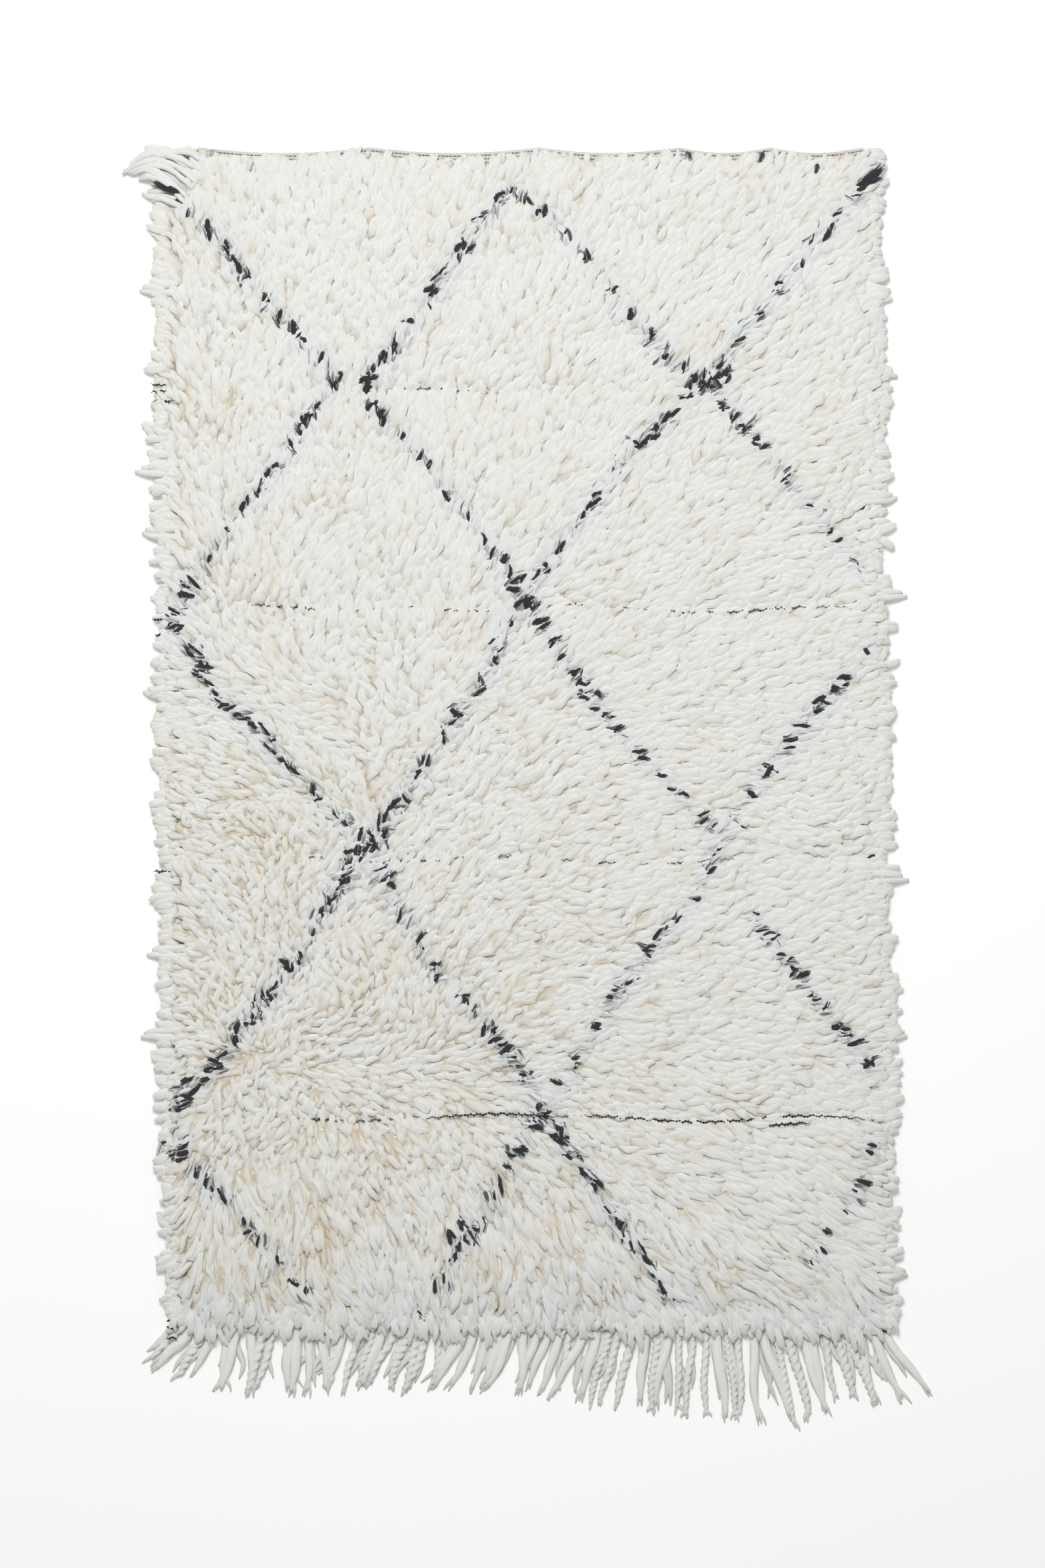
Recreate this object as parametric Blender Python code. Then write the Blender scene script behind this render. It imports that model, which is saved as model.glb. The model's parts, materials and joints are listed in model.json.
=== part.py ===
"""A small hand-knotted wool rug of the Beni Ourain kind, lying flat on the floor.

Metres, +Z up, the floor at z = 0. +Y points to the end with the plain woven band and -Y to the
fringed end. The origin is on the floor, under the middle of the whole rug.
"""

import math
import random

import bmesh
import bpy
from mathutils import Vector, noise

# The four corners of the woven cloth. The weave is a little out of square, as hand work is.
TOP_LEFT = Vector((-0.4806, 0.8604))
TOP_RIGHT = Vector((0.4734, 0.8604))
BOTTOM_LEFT = Vector((-0.4653, -0.7218))
BOTTOM_RIGHT = Vector((0.4959, -0.7290))
SIDE_WAVE = 0.0020  # how far the side edges wander
SIDE_WAVES = 3.4  # wanders in the length of a side

# The plain woven band along the top edge, pulled up where its warp ends are tied off.
BAND_DEPTH = 0.018
BAND_THICKNESS = 0.004
TIES = (0.05, 0.29, 0.53, 0.73, 0.86, 0.99)  # shares of the width, from the left
TIE_SAG = 0.0075

# The pile, as one lumpy slab on its ground weave.
PILE_HEIGHT = 0.027
RIM_HEIGHT = 0.015
RIM_WIDTH = 0.045  # over which the pile rounds down to its rim
BAND_STEP = 0.006  # over which it rises beside the band
LUMPS = ((0.110, 0.0034), (0.048, 0.0026))  # size and height of the lumps, coarse and fine
PARTINGS = (0.529, 0.239, -0.097, -0.446)  # y of the dark weft lines, where the pile parts
PARTING_DEPTH = 0.004
PARTING_WIDTH = 0.014
COLUMNS = 42
ROWS = 70
WALL_FOOT = 0.005  # height of the ground weave, under the rim's locks
WALL_FOOT_OVER_FRINGE = 0.0082  # the locks of the lower end hang over the fringe

# The locks round the rim.
SIDE_REACH = (0.014, 0.029)
END_REACH = (0.017, 0.027)
LOCK_SWAY = 0.0055
LOCK_MIDDLE = 0.38  # half widths, as shares of the wall that a lock grows from
LOCK_TIP = 0.17
# Tufts that lie out further than the rest: side, distance down from the top edge, reach.
LONG_TUFTS = (
    ("left", 0.030, 0.0605),
    ("left", 0.190, 0.0340),
    ("left", 0.435, 0.0410),
    ("left", 0.520, 0.0340),
    ("left", 0.735, 0.0325),
    ("left", 1.085, 0.0335),
    ("left", 1.195, 0.0400),
    ("right", 0.300, 0.0300),
    ("right", 0.470, 0.0310),
    ("right", 0.600, 0.0420),
    ("right", 0.980, 0.0400),
    ("right", 1.190, 0.0310),
    ("right", 1.510, 0.0300),
)

# The fringe: warp ends in knotted cords, on the narrow strip that the last wefts make.
FRINGE_GAP = 0.0003
STRIP_DEPTH = 0.008
STRIP_THICKNESS = 0.004
STRANDS = 60
STRAND_WIDTH = 0.0094
STRAND_HEIGHT = 0.0072
STRAND_TIP = 0.0036
STRAND_UNEVEN = 0.006
# How the fringe lies: share of the edge from the left, how far its ends lie to the right of
# their roots, and how far below them.
FRINGE_LAY = (
    (0.00, -0.046, 0.036),
    (0.04, -0.034, 0.062),
    (0.11, -0.014, 0.084),
    (0.19, -0.008, 0.082),
    (0.28, -0.022, 0.074),
    (0.38, -0.026, 0.080),
    (0.48, -0.024, 0.074),
    (0.57, -0.032, 0.088),
    (0.66, -0.016, 0.100),
    (0.74, 0.004, 0.114),
    (0.84, 0.026, 0.119),
    (0.91, 0.024, 0.092),
    (0.97, 0.030, 0.088),
    (1.00, 0.056, 0.084),
)


def material(name, colour):
    """Matt wool of one colour."""
    wool = bpy.data.materials.new(name)
    wool.use_nodes = True
    shader = wool.node_tree.nodes["Principled BSDF"]
    shader.inputs["Base Color"].default_value = (*colour, 1.0)
    shader.inputs["Roughness"].default_value = 0.92
    shader.inputs["Metallic"].default_value = 0.0
    return wool


def finish(mesh, name, wool):
    """Turns the faces of one closed shape outwards and makes it an object."""
    bmesh.ops.recalc_face_normals(mesh, faces=mesh.faces)
    data = bpy.data.meshes.new(name)
    mesh.to_mesh(data)
    mesh.free()
    data.materials.append(wool)
    piece = bpy.data.objects.new(name, data)
    bpy.context.collection.objects.link(piece)
    return piece


def between(table, share):
    """The row of a table at this share of the way along it, by its first column."""
    for low, high in zip(table, table[1:]):
        if share <= high[0]:
            part = (share - low[0]) / (high[0] - low[0])
            return [a + (b - a) * part for a, b in zip(low[1:], high[1:])]
    return list(table[-1][1:])


def top_sag(across):
    """How far the top edge hangs below its ties, at a share of the width."""
    for left, right in zip((TIES[-1] - 1, *TIES), (*TIES, TIES[0] + 1)):
        if left <= across <= right:
            return TIE_SAG * math.sin(math.pi * (across - left) / (right - left))
    return 0.0


def cloth(across, down):
    """The point of the cloth at a share of its width and of its length from the top edge."""
    left = TOP_LEFT.lerp(BOTTOM_LEFT, down)
    right = TOP_RIGHT.lerp(BOTTOM_RIGHT, down)
    place = left.lerp(right, across)
    place.x += SIDE_WAVE * math.sin(math.tau * SIDE_WAVES * down + 4 * across)
    place.y -= top_sag(across) * (1 - down) ** 4
    return place


def row_share(row):
    """How far down the cloth a row of the slab's points lies."""
    length = TOP_LEFT.y - BOTTOM_LEFT.y
    if row < 2:
        return row * BAND_DEPTH / length
    start = (BAND_DEPTH + BAND_STEP) / length
    return start + (1 - start) * (row - 2) / (ROWS - 2)


def pile_height(place, inland):
    """Height of the pile, which rounds down to its rim and parts at the dark weft lines."""
    rise = min(inland / RIM_WIDTH, 1.0)
    dome = math.sqrt(1 - (1 - rise) ** 2)
    lumps = sum(
        height * noise.noise(Vector((place.x / size, place.y / size, size)))
        for size, height in LUMPS
    )
    parting = sum(math.exp(-(((place.y - y) / PARTING_WIDTH) ** 2)) for y in PARTINGS)
    relief = 2 * lumps * (0.4 + 0.6 * dome) - PARTING_DEPTH * parting * dome
    return RIM_HEIGHT + (PILE_HEIGHT - RIM_HEIGHT) * dome + relief


def slab_points(mesh):
    """The points of the rug's upper side, row by row from the top edge."""
    points = []
    for row in range(ROWS + 1):
        line = []
        for column in range(COLUMNS + 1):
            place = cloth(column / COLUMNS, row_share(row))
            inland = min(
                place.x - cloth(0, row_share(row)).x,
                cloth(1, row_share(row)).x - place.x,
                place.y - cloth(column / COLUMNS, 1).y,
                cloth(column / COLUMNS, 0).y - BAND_DEPTH - place.y + RIM_WIDTH / 3,
            )
            height = BAND_THICKNESS if row < 2 else pile_height(place, max(inland, 0))
            line.append(mesh.verts.new((*place, height)))
        points.append(line)
    return points


def grow(mesh, face, along, stations):
    """Draws a four-sided lock out of a wall's face, through (place, half width, low, high)."""
    for place, half_width, low, high in stations:
        face = bmesh.ops.extrude_discrete_faces(mesh, faces=[face])["faces"][0]
        middle = face.calc_center_median()
        for vert in face.verts:
            offset = vert.co - middle
            side = math.copysign(half_width, offset.dot(along))
            height = high if offset.z > 0 else low
            vert.co = (place.x + along.x * side, place.y + along.y * side, height)


def lock_reach(side, down, chance):
    """How far a rim lock lies out, at a distance down from the top edge."""
    spacing = (TOP_LEFT.y - BOTTOM_LEFT.y) / ROWS
    for tuft_side, tuft_down, reach in LONG_TUFTS:
        if tuft_side == side and abs(tuft_down - down) < spacing / 2:
            return reach
    return chance.uniform(*(END_REACH if side == "lower" else SIDE_REACH))


def grow_rim_lock(mesh, face, side, along, outward, chance):
    """One lock of the rim: those of the sides droop to the floor, the lower end's don't."""
    root = face.calc_center_median()
    width = max((a.co - b.co).dot(along) for a in face.verts for b in face.verts)
    sway = along * chance.uniform(-LOCK_SWAY, LOCK_SWAY)
    reach = lock_reach(side, TOP_LEFT.y - root.y, chance)
    middle = root + outward * 0.52 * reach + sway * 0.35
    tip = root + outward * reach + sway
    foot = WALL_FOOT_OVER_FRINGE if side == "lower" else 0.0
    stations = (
        (middle, LOCK_MIDDLE * width, foot + 0.0015, foot + 0.0095),
        (tip, LOCK_TIP * width, foot, foot + 0.0038),
    )
    grow(mesh, face, along, stations)


def rug():
    """Ground weave, knotted pile and woven band, which are one cloth."""
    mesh = bmesh.new()
    points = slab_points(mesh)
    for row in range(ROWS):
        for column in range(COLUMNS):
            mesh.faces.new(
                (
                    points[row + 1][column],
                    points[row + 1][column + 1],
                    points[row][column + 1],
                    points[row][column],
                )
            )
    # Round the rim, anticlockwise from the top left corner: each point and the wall after it.
    rim = [(points[row][0], "left" if row > 1 else "band") for row in range(ROWS)]
    rim += [(points[ROWS][column], "lower") for column in range(COLUMNS)]
    rim += [(points[row][COLUMNS], "right" if row > 2 else "band") for row in range(ROWS, 0, -1)]
    rim += [(points[0][column], "band") for column in range(COLUMNS, 0, -1)]
    lower_end = set(points[ROWS])
    feet = []
    floor = []
    for vert, _ in rim:
        place = vert.co
        foot = WALL_FOOT_OVER_FRINGE if vert in lower_end else WALL_FOOT
        feet.append(mesh.verts.new((place.x, place.y, min(foot, place.z / 2))))
        floor.append(mesh.verts.new((place.x, place.y, 0.0)))
    chance = random.Random(11)
    for index, (vert, side) in enumerate(rim):
        after = (index + 1) % len(rim)
        upper = mesh.faces.new((vert, feet[index], feet[after], rim[after][0]))
        mesh.faces.new((feet[index], floor[index], floor[after], feet[after]))
        if side == "band":
            continue
        along = rim[after][0].co - vert.co
        along.z = 0
        along.normalize()
        outward = Vector((along.y, -along.x, 0))
        grow_rim_lock(mesh, upper, side, along, outward, chance)
    mesh.faces.new(floor)
    return finish(mesh, "rug", material("ivory_wool", (0.76, 0.75, 0.70)))


def fringe():
    """The strip of the last wefts under the pile's end, with the warp ends hanging from it."""
    edge = BOTTOM_RIGHT - BOTTOM_LEFT
    along = edge.normalized().to_3d()
    outward = Vector((along.y, -along.x, 0))
    wave = cloth(0, 1) - BOTTOM_LEFT
    start = (BOTTOM_LEFT + wave).to_3d() + outward * FRINGE_GAP
    pitch = edge.length / STRANDS
    # Along the strip's outer edge: where each strand's root begins and ends.
    stops = [0.0]
    for strand in range(STRANDS):
        middle = (strand + 0.5) * pitch
        stops += [middle - STRAND_WIDTH / 2, middle + STRAND_WIDTH / 2]
    stops.append(edge.length)
    outline = [start + along * stop + outward * STRIP_DEPTH for stop in stops]
    outline += [start + along * edge.length, start]
    mesh = bmesh.new()
    low = [mesh.verts.new(place) for place in outline]
    high = [mesh.verts.new(place + Vector((0, 0, STRIP_THICKNESS))) for place in outline]
    mesh.faces.new(reversed(low))
    mesh.faces.new(high)
    chance = random.Random(5)
    for index, _ in enumerate(outline):
        after = (index + 1) % len(outline)
        face = mesh.faces.new((low[index], low[after], high[after], high[index]))
        if index % 2 == 0 or index > 2 * STRANDS:
            continue
        share = (index // 2 + 0.5) / STRANDS
        lean, reach = between(FRINGE_LAY, share)
        reach += chance.uniform(-STRAND_UNEVEN, STRAND_UNEVEN)
        root = (outline[index] + outline[after]) / 2
        end = root + Vector((lean, -reach, 0))
        bow = along * chance.uniform(-0.0012, 0.0012)
        stations = (
            (root.lerp(end, 0.22) + bow * 0.5, 0.50 * STRAND_WIDTH, 0, STRAND_HEIGHT * 0.96),
            (root.lerp(end, 0.68) + bow, 0.48 * STRAND_WIDTH, 0, STRAND_HEIGHT),
            (end, 0.50 * STRAND_TIP, 0, STRAND_TIP),
        )
        grow(mesh, face, along, stations)
    return finish(mesh, "fringe", material("warp_wool", (0.62, 0.66, 0.62)))


def centre(pieces):
    """Shifts the pieces together, so that the origin is under the middle of them all."""
    places = [vert.co for piece in pieces for vert in piece.data.vertices]
    middle = Vector(
        [(min(p[axis] for p in places) + max(p[axis] for p in places)) / 2 for axis in (0, 1)]
    )
    for piece in pieces:
        for vert in piece.data.vertices:
            vert.co.x -= middle.x
            vert.co.y -= middle.y


for old in list(bpy.data.objects):
    bpy.data.objects.remove(old)
centre([rug(), fringe()])
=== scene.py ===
"""A small hand-knotted Beni Ourain rug, lying flat: its ground weave, pile, rim and fringe.

Metres, +Z up, the floor at z = 0. +Y points to the end with the plain woven band and -Y to the
fringed end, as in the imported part.
"""

import json
import math
import random

import bmesh
import bpy
from mathutils import Matrix, Vector, noise

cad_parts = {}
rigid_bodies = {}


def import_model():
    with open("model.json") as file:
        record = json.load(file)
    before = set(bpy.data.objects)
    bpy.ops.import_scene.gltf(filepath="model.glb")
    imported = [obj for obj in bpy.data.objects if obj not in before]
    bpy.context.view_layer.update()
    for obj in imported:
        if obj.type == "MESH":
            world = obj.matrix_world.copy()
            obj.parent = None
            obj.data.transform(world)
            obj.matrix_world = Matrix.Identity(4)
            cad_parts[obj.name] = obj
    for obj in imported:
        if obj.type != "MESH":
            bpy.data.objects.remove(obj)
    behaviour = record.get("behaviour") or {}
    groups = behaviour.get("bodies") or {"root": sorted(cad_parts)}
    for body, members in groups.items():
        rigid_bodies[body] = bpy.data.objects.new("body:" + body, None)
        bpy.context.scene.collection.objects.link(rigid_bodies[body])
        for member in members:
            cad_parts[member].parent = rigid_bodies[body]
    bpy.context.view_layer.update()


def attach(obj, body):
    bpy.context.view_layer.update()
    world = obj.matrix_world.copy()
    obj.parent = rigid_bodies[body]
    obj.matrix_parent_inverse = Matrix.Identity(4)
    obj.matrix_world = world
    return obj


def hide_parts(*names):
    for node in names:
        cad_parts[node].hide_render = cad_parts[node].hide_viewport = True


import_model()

# ---- The studio ---------------------------------------------------------------------------------
# A plain pale floor under soft light from above, and the camera straight over the rug. One pixel of
# the 1568 x 2352 picture is 0.9 mm of the rug.
PICTURE_LENGTH = 2352 * 0.0009
PICTURE_MIDDLE = Vector((0.0045, 0.0018))
CAMERA_HEIGHT = 4.6
CAMERA_SIGHT = 50.0
SENSOR = 36.0
FLOOR_SIZE = 40.0
FLOOR_COLOUR = (0.98, 0.98, 0.98, 1.0)
FLOOR_MOTTLE = 1.3
FLOOR_ROUGHNESS = 0.9
FLOOR_GLOW = 0.12  # lifts the floor to white
SKY_COLOUR = (1.0, 1.0, 1.0, 1.0)
SKY_STRENGTH = 0.40
LAMP_PLACE = Vector((-0.4, 1.9, 4.4))
LAMP_SIZE = 1.6
LAMP_POWER = 144.0


def add(tree, kind, inputs=(), **settings):
    """Adds a node with these settings. Each input is set to a value or joined to a socket."""
    node = tree.nodes.new(kind)
    for name, value in settings.items():
        setattr(node, name, value)
    for key, value in dict(inputs).items():
        if isinstance(value, bpy.types.NodeSocket):
            tree.links.new(value, node.inputs[key])
        else:
            node.inputs[key].default_value = value
    return node


def new_material(name, roughness):
    """A material with only its Principled BSDF and its output."""
    made = bpy.data.materials.new(name)
    made.use_nodes = True
    shader = made.node_tree.nodes["Principled BSDF"]
    shader.inputs["Roughness"].default_value = roughness
    return made, made.node_tree, shader


def keep(name, mesh, material):
    """Turns a finished bmesh into a smooth-shaded object of one material."""
    data = bpy.data.meshes.new(name)
    mesh.to_mesh(data)
    mesh.free()
    data.shade_smooth()
    data.materials.append(material)
    made = bpy.data.objects.new(name, data)
    bpy.context.collection.objects.link(made)
    return made


def floor():
    """A pale matt floor, with the faintest mottle."""
    mesh = bmesh.new()
    bmesh.ops.create_grid(mesh, x_segments=1, y_segments=1, size=FLOOR_SIZE / 2)
    plain, tree, shader = new_material("pale_floor", FLOOR_ROUGHNESS)
    where = add(tree, "ShaderNodeTexCoord").outputs["Object"]
    mottle = add(tree, "ShaderNodeTexNoise", {"Vector": where, "Scale": FLOOR_MOTTLE, "Detail": 2.0})
    blend = add(tree, "ShaderNodeMix", {0: mottle.outputs["Fac"]}, data_type="RGBA")
    blend.inputs[6].default_value = FLOOR_COLOUR
    blend.inputs[7].default_value = tuple(0.99 * part for part in FLOOR_COLOUR[:3]) + (1.0,)
    tree.links.new(blend.outputs[2], shader.inputs["Base Color"])
    shader.inputs["Emission Color"].default_value = FLOOR_COLOUR
    shader.inputs["Emission Strength"].default_value = FLOOR_GLOW
    keep("studio_floor", mesh, plain)


def lamp():
    """One large soft lamp above the banded end, and an even white sky."""
    data = bpy.data.lights.new("soft_lamp", "AREA")
    data.shape = "DISK"
    data.size = LAMP_SIZE
    data.energy = LAMP_POWER
    hung = bpy.data.objects.new("soft_lamp", data)
    hung.location = LAMP_PLACE
    hung.rotation_euler = LAMP_PLACE.to_track_quat("Z", "Y").to_euler()
    bpy.context.collection.objects.link(hung)
    sky = bpy.data.worlds.new("white_sky")
    sky.use_nodes = True
    sky.node_tree.nodes["Background"].inputs["Color"].default_value = SKY_COLOUR
    sky.node_tree.nodes["Background"].inputs["Strength"].default_value = SKY_STRENGTH
    bpy.context.scene.world = sky


def camera():
    """A long lens straight above the middle of the picture, with the banded end at the top."""
    data = bpy.data.cameras.new("camera")
    data.sensor_width = SENSOR
    data.lens = SENSOR * CAMERA_HEIGHT / PICTURE_LENGTH
    data.clip_end = CAMERA_SIGHT
    held = bpy.data.objects.new("camera", data)
    held.location = (*PICTURE_MIDDLE, CAMERA_HEIGHT)
    bpy.context.collection.objects.link(held)
    bpy.context.scene.camera = held


floor()
lamp()
camera()
bpy.context.scene.view_settings.view_transform = "Standard"

# ---- The ground weave ---------------------------------------------------------------------------
# Wool warps packed hard with thin wefts, about 4 mm thick. It shows at the selvedges, between the
# ties of the banded end and underneath.
TOP_LEFT = Vector((-0.4806, 0.8604))
TOP_RIGHT = Vector((0.4734, 0.8604))
BOTTOM_LEFT = Vector((-0.4653, -0.7218))
BOTTOM_RIGHT = Vector((0.4959, -0.7290))
# The sides wave a little, and the top edge sags between its ties, which are at shares of its width.
SIDE_WAVE = 0.0020
SIDE_WAVES = 3.4
TIES = (0.05, 0.29, 0.53, 0.73, 0.86, 0.99)
TIE_SAG = 0.0075
BAND_DEPTH = 0.018
WEAVE_THICKNESS = 0.0036
WEAVE_FOOT = 0.0002
WEAVE_ROWS = 40
WEAVE_COLUMNS = 100
WEFT_SCALE = 92.0
WEFT_RELIEF = 0.001
WOOL_ROUGHNESS = 0.95
WEAVE_COLOURS = ((0.60, 0.59, 0.54, 1), (0.76, 0.76, 0.72, 1))


def top_sag(across):
    """How far the top edge hangs below its ties, at a share of the width."""
    for left, right in zip((TIES[-1] - 1, *TIES), (*TIES, TIES[0] + 1)):
        if left <= across <= right:
            return TIE_SAG * math.sin(math.pi * (across - left) / (right - left))
    return 0.0


def cloth(across, down):
    """The point of the cloth at a share of its width and of its length from the top edge."""
    left = TOP_LEFT.lerp(BOTTOM_LEFT, down)
    right = TOP_RIGHT.lerp(BOTTOM_RIGHT, down)
    place = left.lerp(right, across)
    place.x += SIDE_WAVE * math.sin(math.tau * SIDE_WAVES * down + 4 * across)
    place.y -= top_sag(across) * (1 - down) ** 4
    return place


CLOTH_LENGTH = TOP_LEFT.y - BOTTOM_LEFT.y


def round_edge(rows, columns):
    """The row and column of each point round the edge of a grid."""
    walk = [(row, 0) for row in range(rows)]
    walk += [(rows, column) for column in range(columns)]
    walk += [(row, columns) for row in range(rows, 0, -1)]
    walk += [(0, column) for column in range(columns, 0, -1)]
    return walk


def weave():
    """The cloth as one closed sheet."""
    mesh = bmesh.new()
    upper = []
    lower = []
    for row in range(WEAVE_ROWS + 1):
        down = row / WEAVE_ROWS
        line = [cloth(column / WEAVE_COLUMNS, down) for column in range(WEAVE_COLUMNS + 1)]
        upper.append([mesh.verts.new((*place, WEAVE_THICKNESS)) for place in line])
        lower.append([mesh.verts.new((*place, WEAVE_FOOT)) for place in line])
    for row in range(WEAVE_ROWS):
        for column in range(WEAVE_COLUMNS):
            for side, turned in ((upper, True), (lower, False)):
                corners = [
                    side[row][column],
                    side[row][column + 1],
                    side[row + 1][column + 1],
                    side[row + 1][column],
                ]
                mesh.faces.new(reversed(corners) if turned else corners)
    walk = round_edge(WEAVE_ROWS, WEAVE_COLUMNS)
    for (row, column), (after_row, after_column) in zip(walk, walk[1:] + walk[:1]):
        mesh.faces.new(
            (
                upper[row][column],
                lower[row][column],
                lower[after_row][after_column],
                upper[after_row][after_column],
            )
        )
    return mesh


def woven_wool():
    """Off-white wool in ribs, one for each weft."""
    woven, tree, shader = new_material("woven_wool", WOOL_ROUGHNESS)
    where = add(tree, "ShaderNodeTexCoord").outputs["Object"]
    weft = add(
        tree,
        "ShaderNodeTexWave",
        {"Vector": where, "Scale": WEFT_SCALE, "Distortion": 1.5, "Detail": 1.0},
        bands_direction="Y",
    )
    blend = add(tree, "ShaderNodeMix", {0: weft.outputs["Fac"]}, data_type="RGBA")
    blend.inputs[6].default_value, blend.inputs[7].default_value = WEAVE_COLOURS
    rib = add(tree, "ShaderNodeBump", {"Height": weft.outputs["Fac"], "Distance": WEFT_RELIEF})
    tree.links.new(blend.outputs[2], shader.inputs["Base Color"])
    tree.links.new(rib.outputs[0], shader.inputs["Normal"])
    return woven


ground_weave = keep("ground_weave", weave(), woven_wool())
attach(ground_weave, "root")

# ---- The banded end -----------------------------------------------------------------------------
# Pairs of thick plied wefts twined round the warps along the top edge, which lock the first row of
# knots. Grey yarn ties off the warp ends between them.
TWINED_ROWS = (0.0026, 0.0074, 0.0122, 0.0170)
TWINED_RADIUS = 0.0026
TWINED_TURN = 0.0105
TWINED_STEP = 0.0022
GREY_TIE_HEIGHTS = (0.0078, 0.0225, 0.0215)
GREY_TIE_WIDTHS = (0.0030, 0.0042, 0.0024)
# Each grey tie: x, how far down from the edge, how far it leans, its length and how dark it is.
GREY_TIES = (
    (-0.4167, 0.004, 0.004, 0.0120, 0.50),
    (-0.3645, 0.009, 0.006, 0.0190, 0.24),
    (-0.2060, 0.006, 0.003, 0.0110, 0.25),
    (-0.0960, 0.010, 0.004, 0.0180, 0.34),
    (0.0220, 0.006, -0.003, 0.0120, 0.22),
    (0.2300, 0.005, -0.004, 0.0130, 0.80),
    (0.3230, 0.004, 0.009, 0.0180, 0.90),
    (0.3990, 0.012, 0.006, 0.0220, 0.90),
    (0.4480, 0.008, 0.004, 0.0140, 0.30),
)
# A strand's section, in half widths, as one round ply or as two plies side by side.
ROUND = ((1, 0), (0.5, 0.87), (-0.5, 0.87), (-1, 0), (-0.5, -0.87), (0.5, -0.87))
TWO_PLY = (
    (1, 0), (0.64, 0.60), (0, 0.62), (-0.64, 0.60), (-1, 0), (-0.64, -0.60), (0, -0.62), (0.64, -0.60),
)
# What each strand or lock carries: how dark its wool is, how cool its tint is (the dye's bleed beside the
# dark knots, and painted cool spill light at the rim and lower end), its own chance shade, and how high the
# pile is there.
WOOL_VALUES = ("dark", "cool", "tone", "full")
# The band's yarns, darker on their lower sides as painted shade.
BAND_PAINTED_SHADE_COLOURS = ((0.44, 0.44, 0.41, 1), (0.60, 0.61, 0.58, 1), (0.76, 0.775, 0.755, 1))
BAND_PAINTED_SHADE_LEVELS = (0.0030, 0.0078)
BAND_RELIEF = 0.0010
BAND_SOFTNESS = 0.3
FIBRE_WIDTH = 0.0011
FIBRE_LENGTH = 0.0085
SHEEN = 0.15
WARM_PATCHES = 13.0
# Wool's tints: cream in patches; cool grey, which is the dye's bleed beside the dark knots and painted cool
# spill light at the rim and lower end; and painted shade between the fibres.
CREAM = (0.975, 0.94, 0.87, 1)
COOL_BLEED_AND_SPILL = (0.93, 0.955, 0.985, 1)
PAINTED_FIBRE_SHADE = (0.945, 0.935, 0.905, 1)
# The dye where it is thin, where it is full, and how its fibres catch the light.
THIN_DYE = (0.20, 0.21, 0.235, 1)
FULL_DYE = (0.012, 0.013, 0.015, 1)
DYE_LIGHT = (0.55, 0.57, 0.62, 1)


def through(points, count):
    """Count + 1 points along the smooth curve through these points."""
    ends = [points[0] * 2 - points[1], *points, points[-1] * 2 - points[-2]]
    curve = []
    for index in range(count + 1):
        place = (len(points) - 1) * index / count
        span = min(int(place), len(points) - 2)
        t = place - span
        a, b, c, d = ends[span : span + 4]
        curve.append(
            (2 * b + (c - a) * t + (2 * a - 5 * b + 4 * c - d) * t**2 + (3 * b - a - 3 * c + d) * t**3)
            / 2
        )
    return curve


def between(table, place):
    """The row of a table at this place along it, by its first column, which rises or falls."""
    for low, high in zip(table, table[1:]):
        part = (place - low[0]) / (high[0] - low[0])
        if part <= 1:
            return [a + (b - a) * max(part, 0) for a, b in zip(low[1:], high[1:])]
    return list(table[-1][1:])


def strand(line, widths, section=ROUND, twist=0.0, flat=1.0, dark=0.0, cool=0.0, tone=0.5, full=1.0):
    """One strand of wool: its line, half widths spread evenly along it, section, turns and values."""
    spans = len(line) - 1
    spread = list(enumerate(widths))
    steps = [between(spread, index * (len(widths) - 1) / spans)[0] for index in range(spans + 1)]
    return {
        "line": line, "widths": steps, "section": section, "twist": twist, "flat": flat,
        "dark": dark, "cool": cool, "tone": tone, "full": full,
    }


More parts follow.
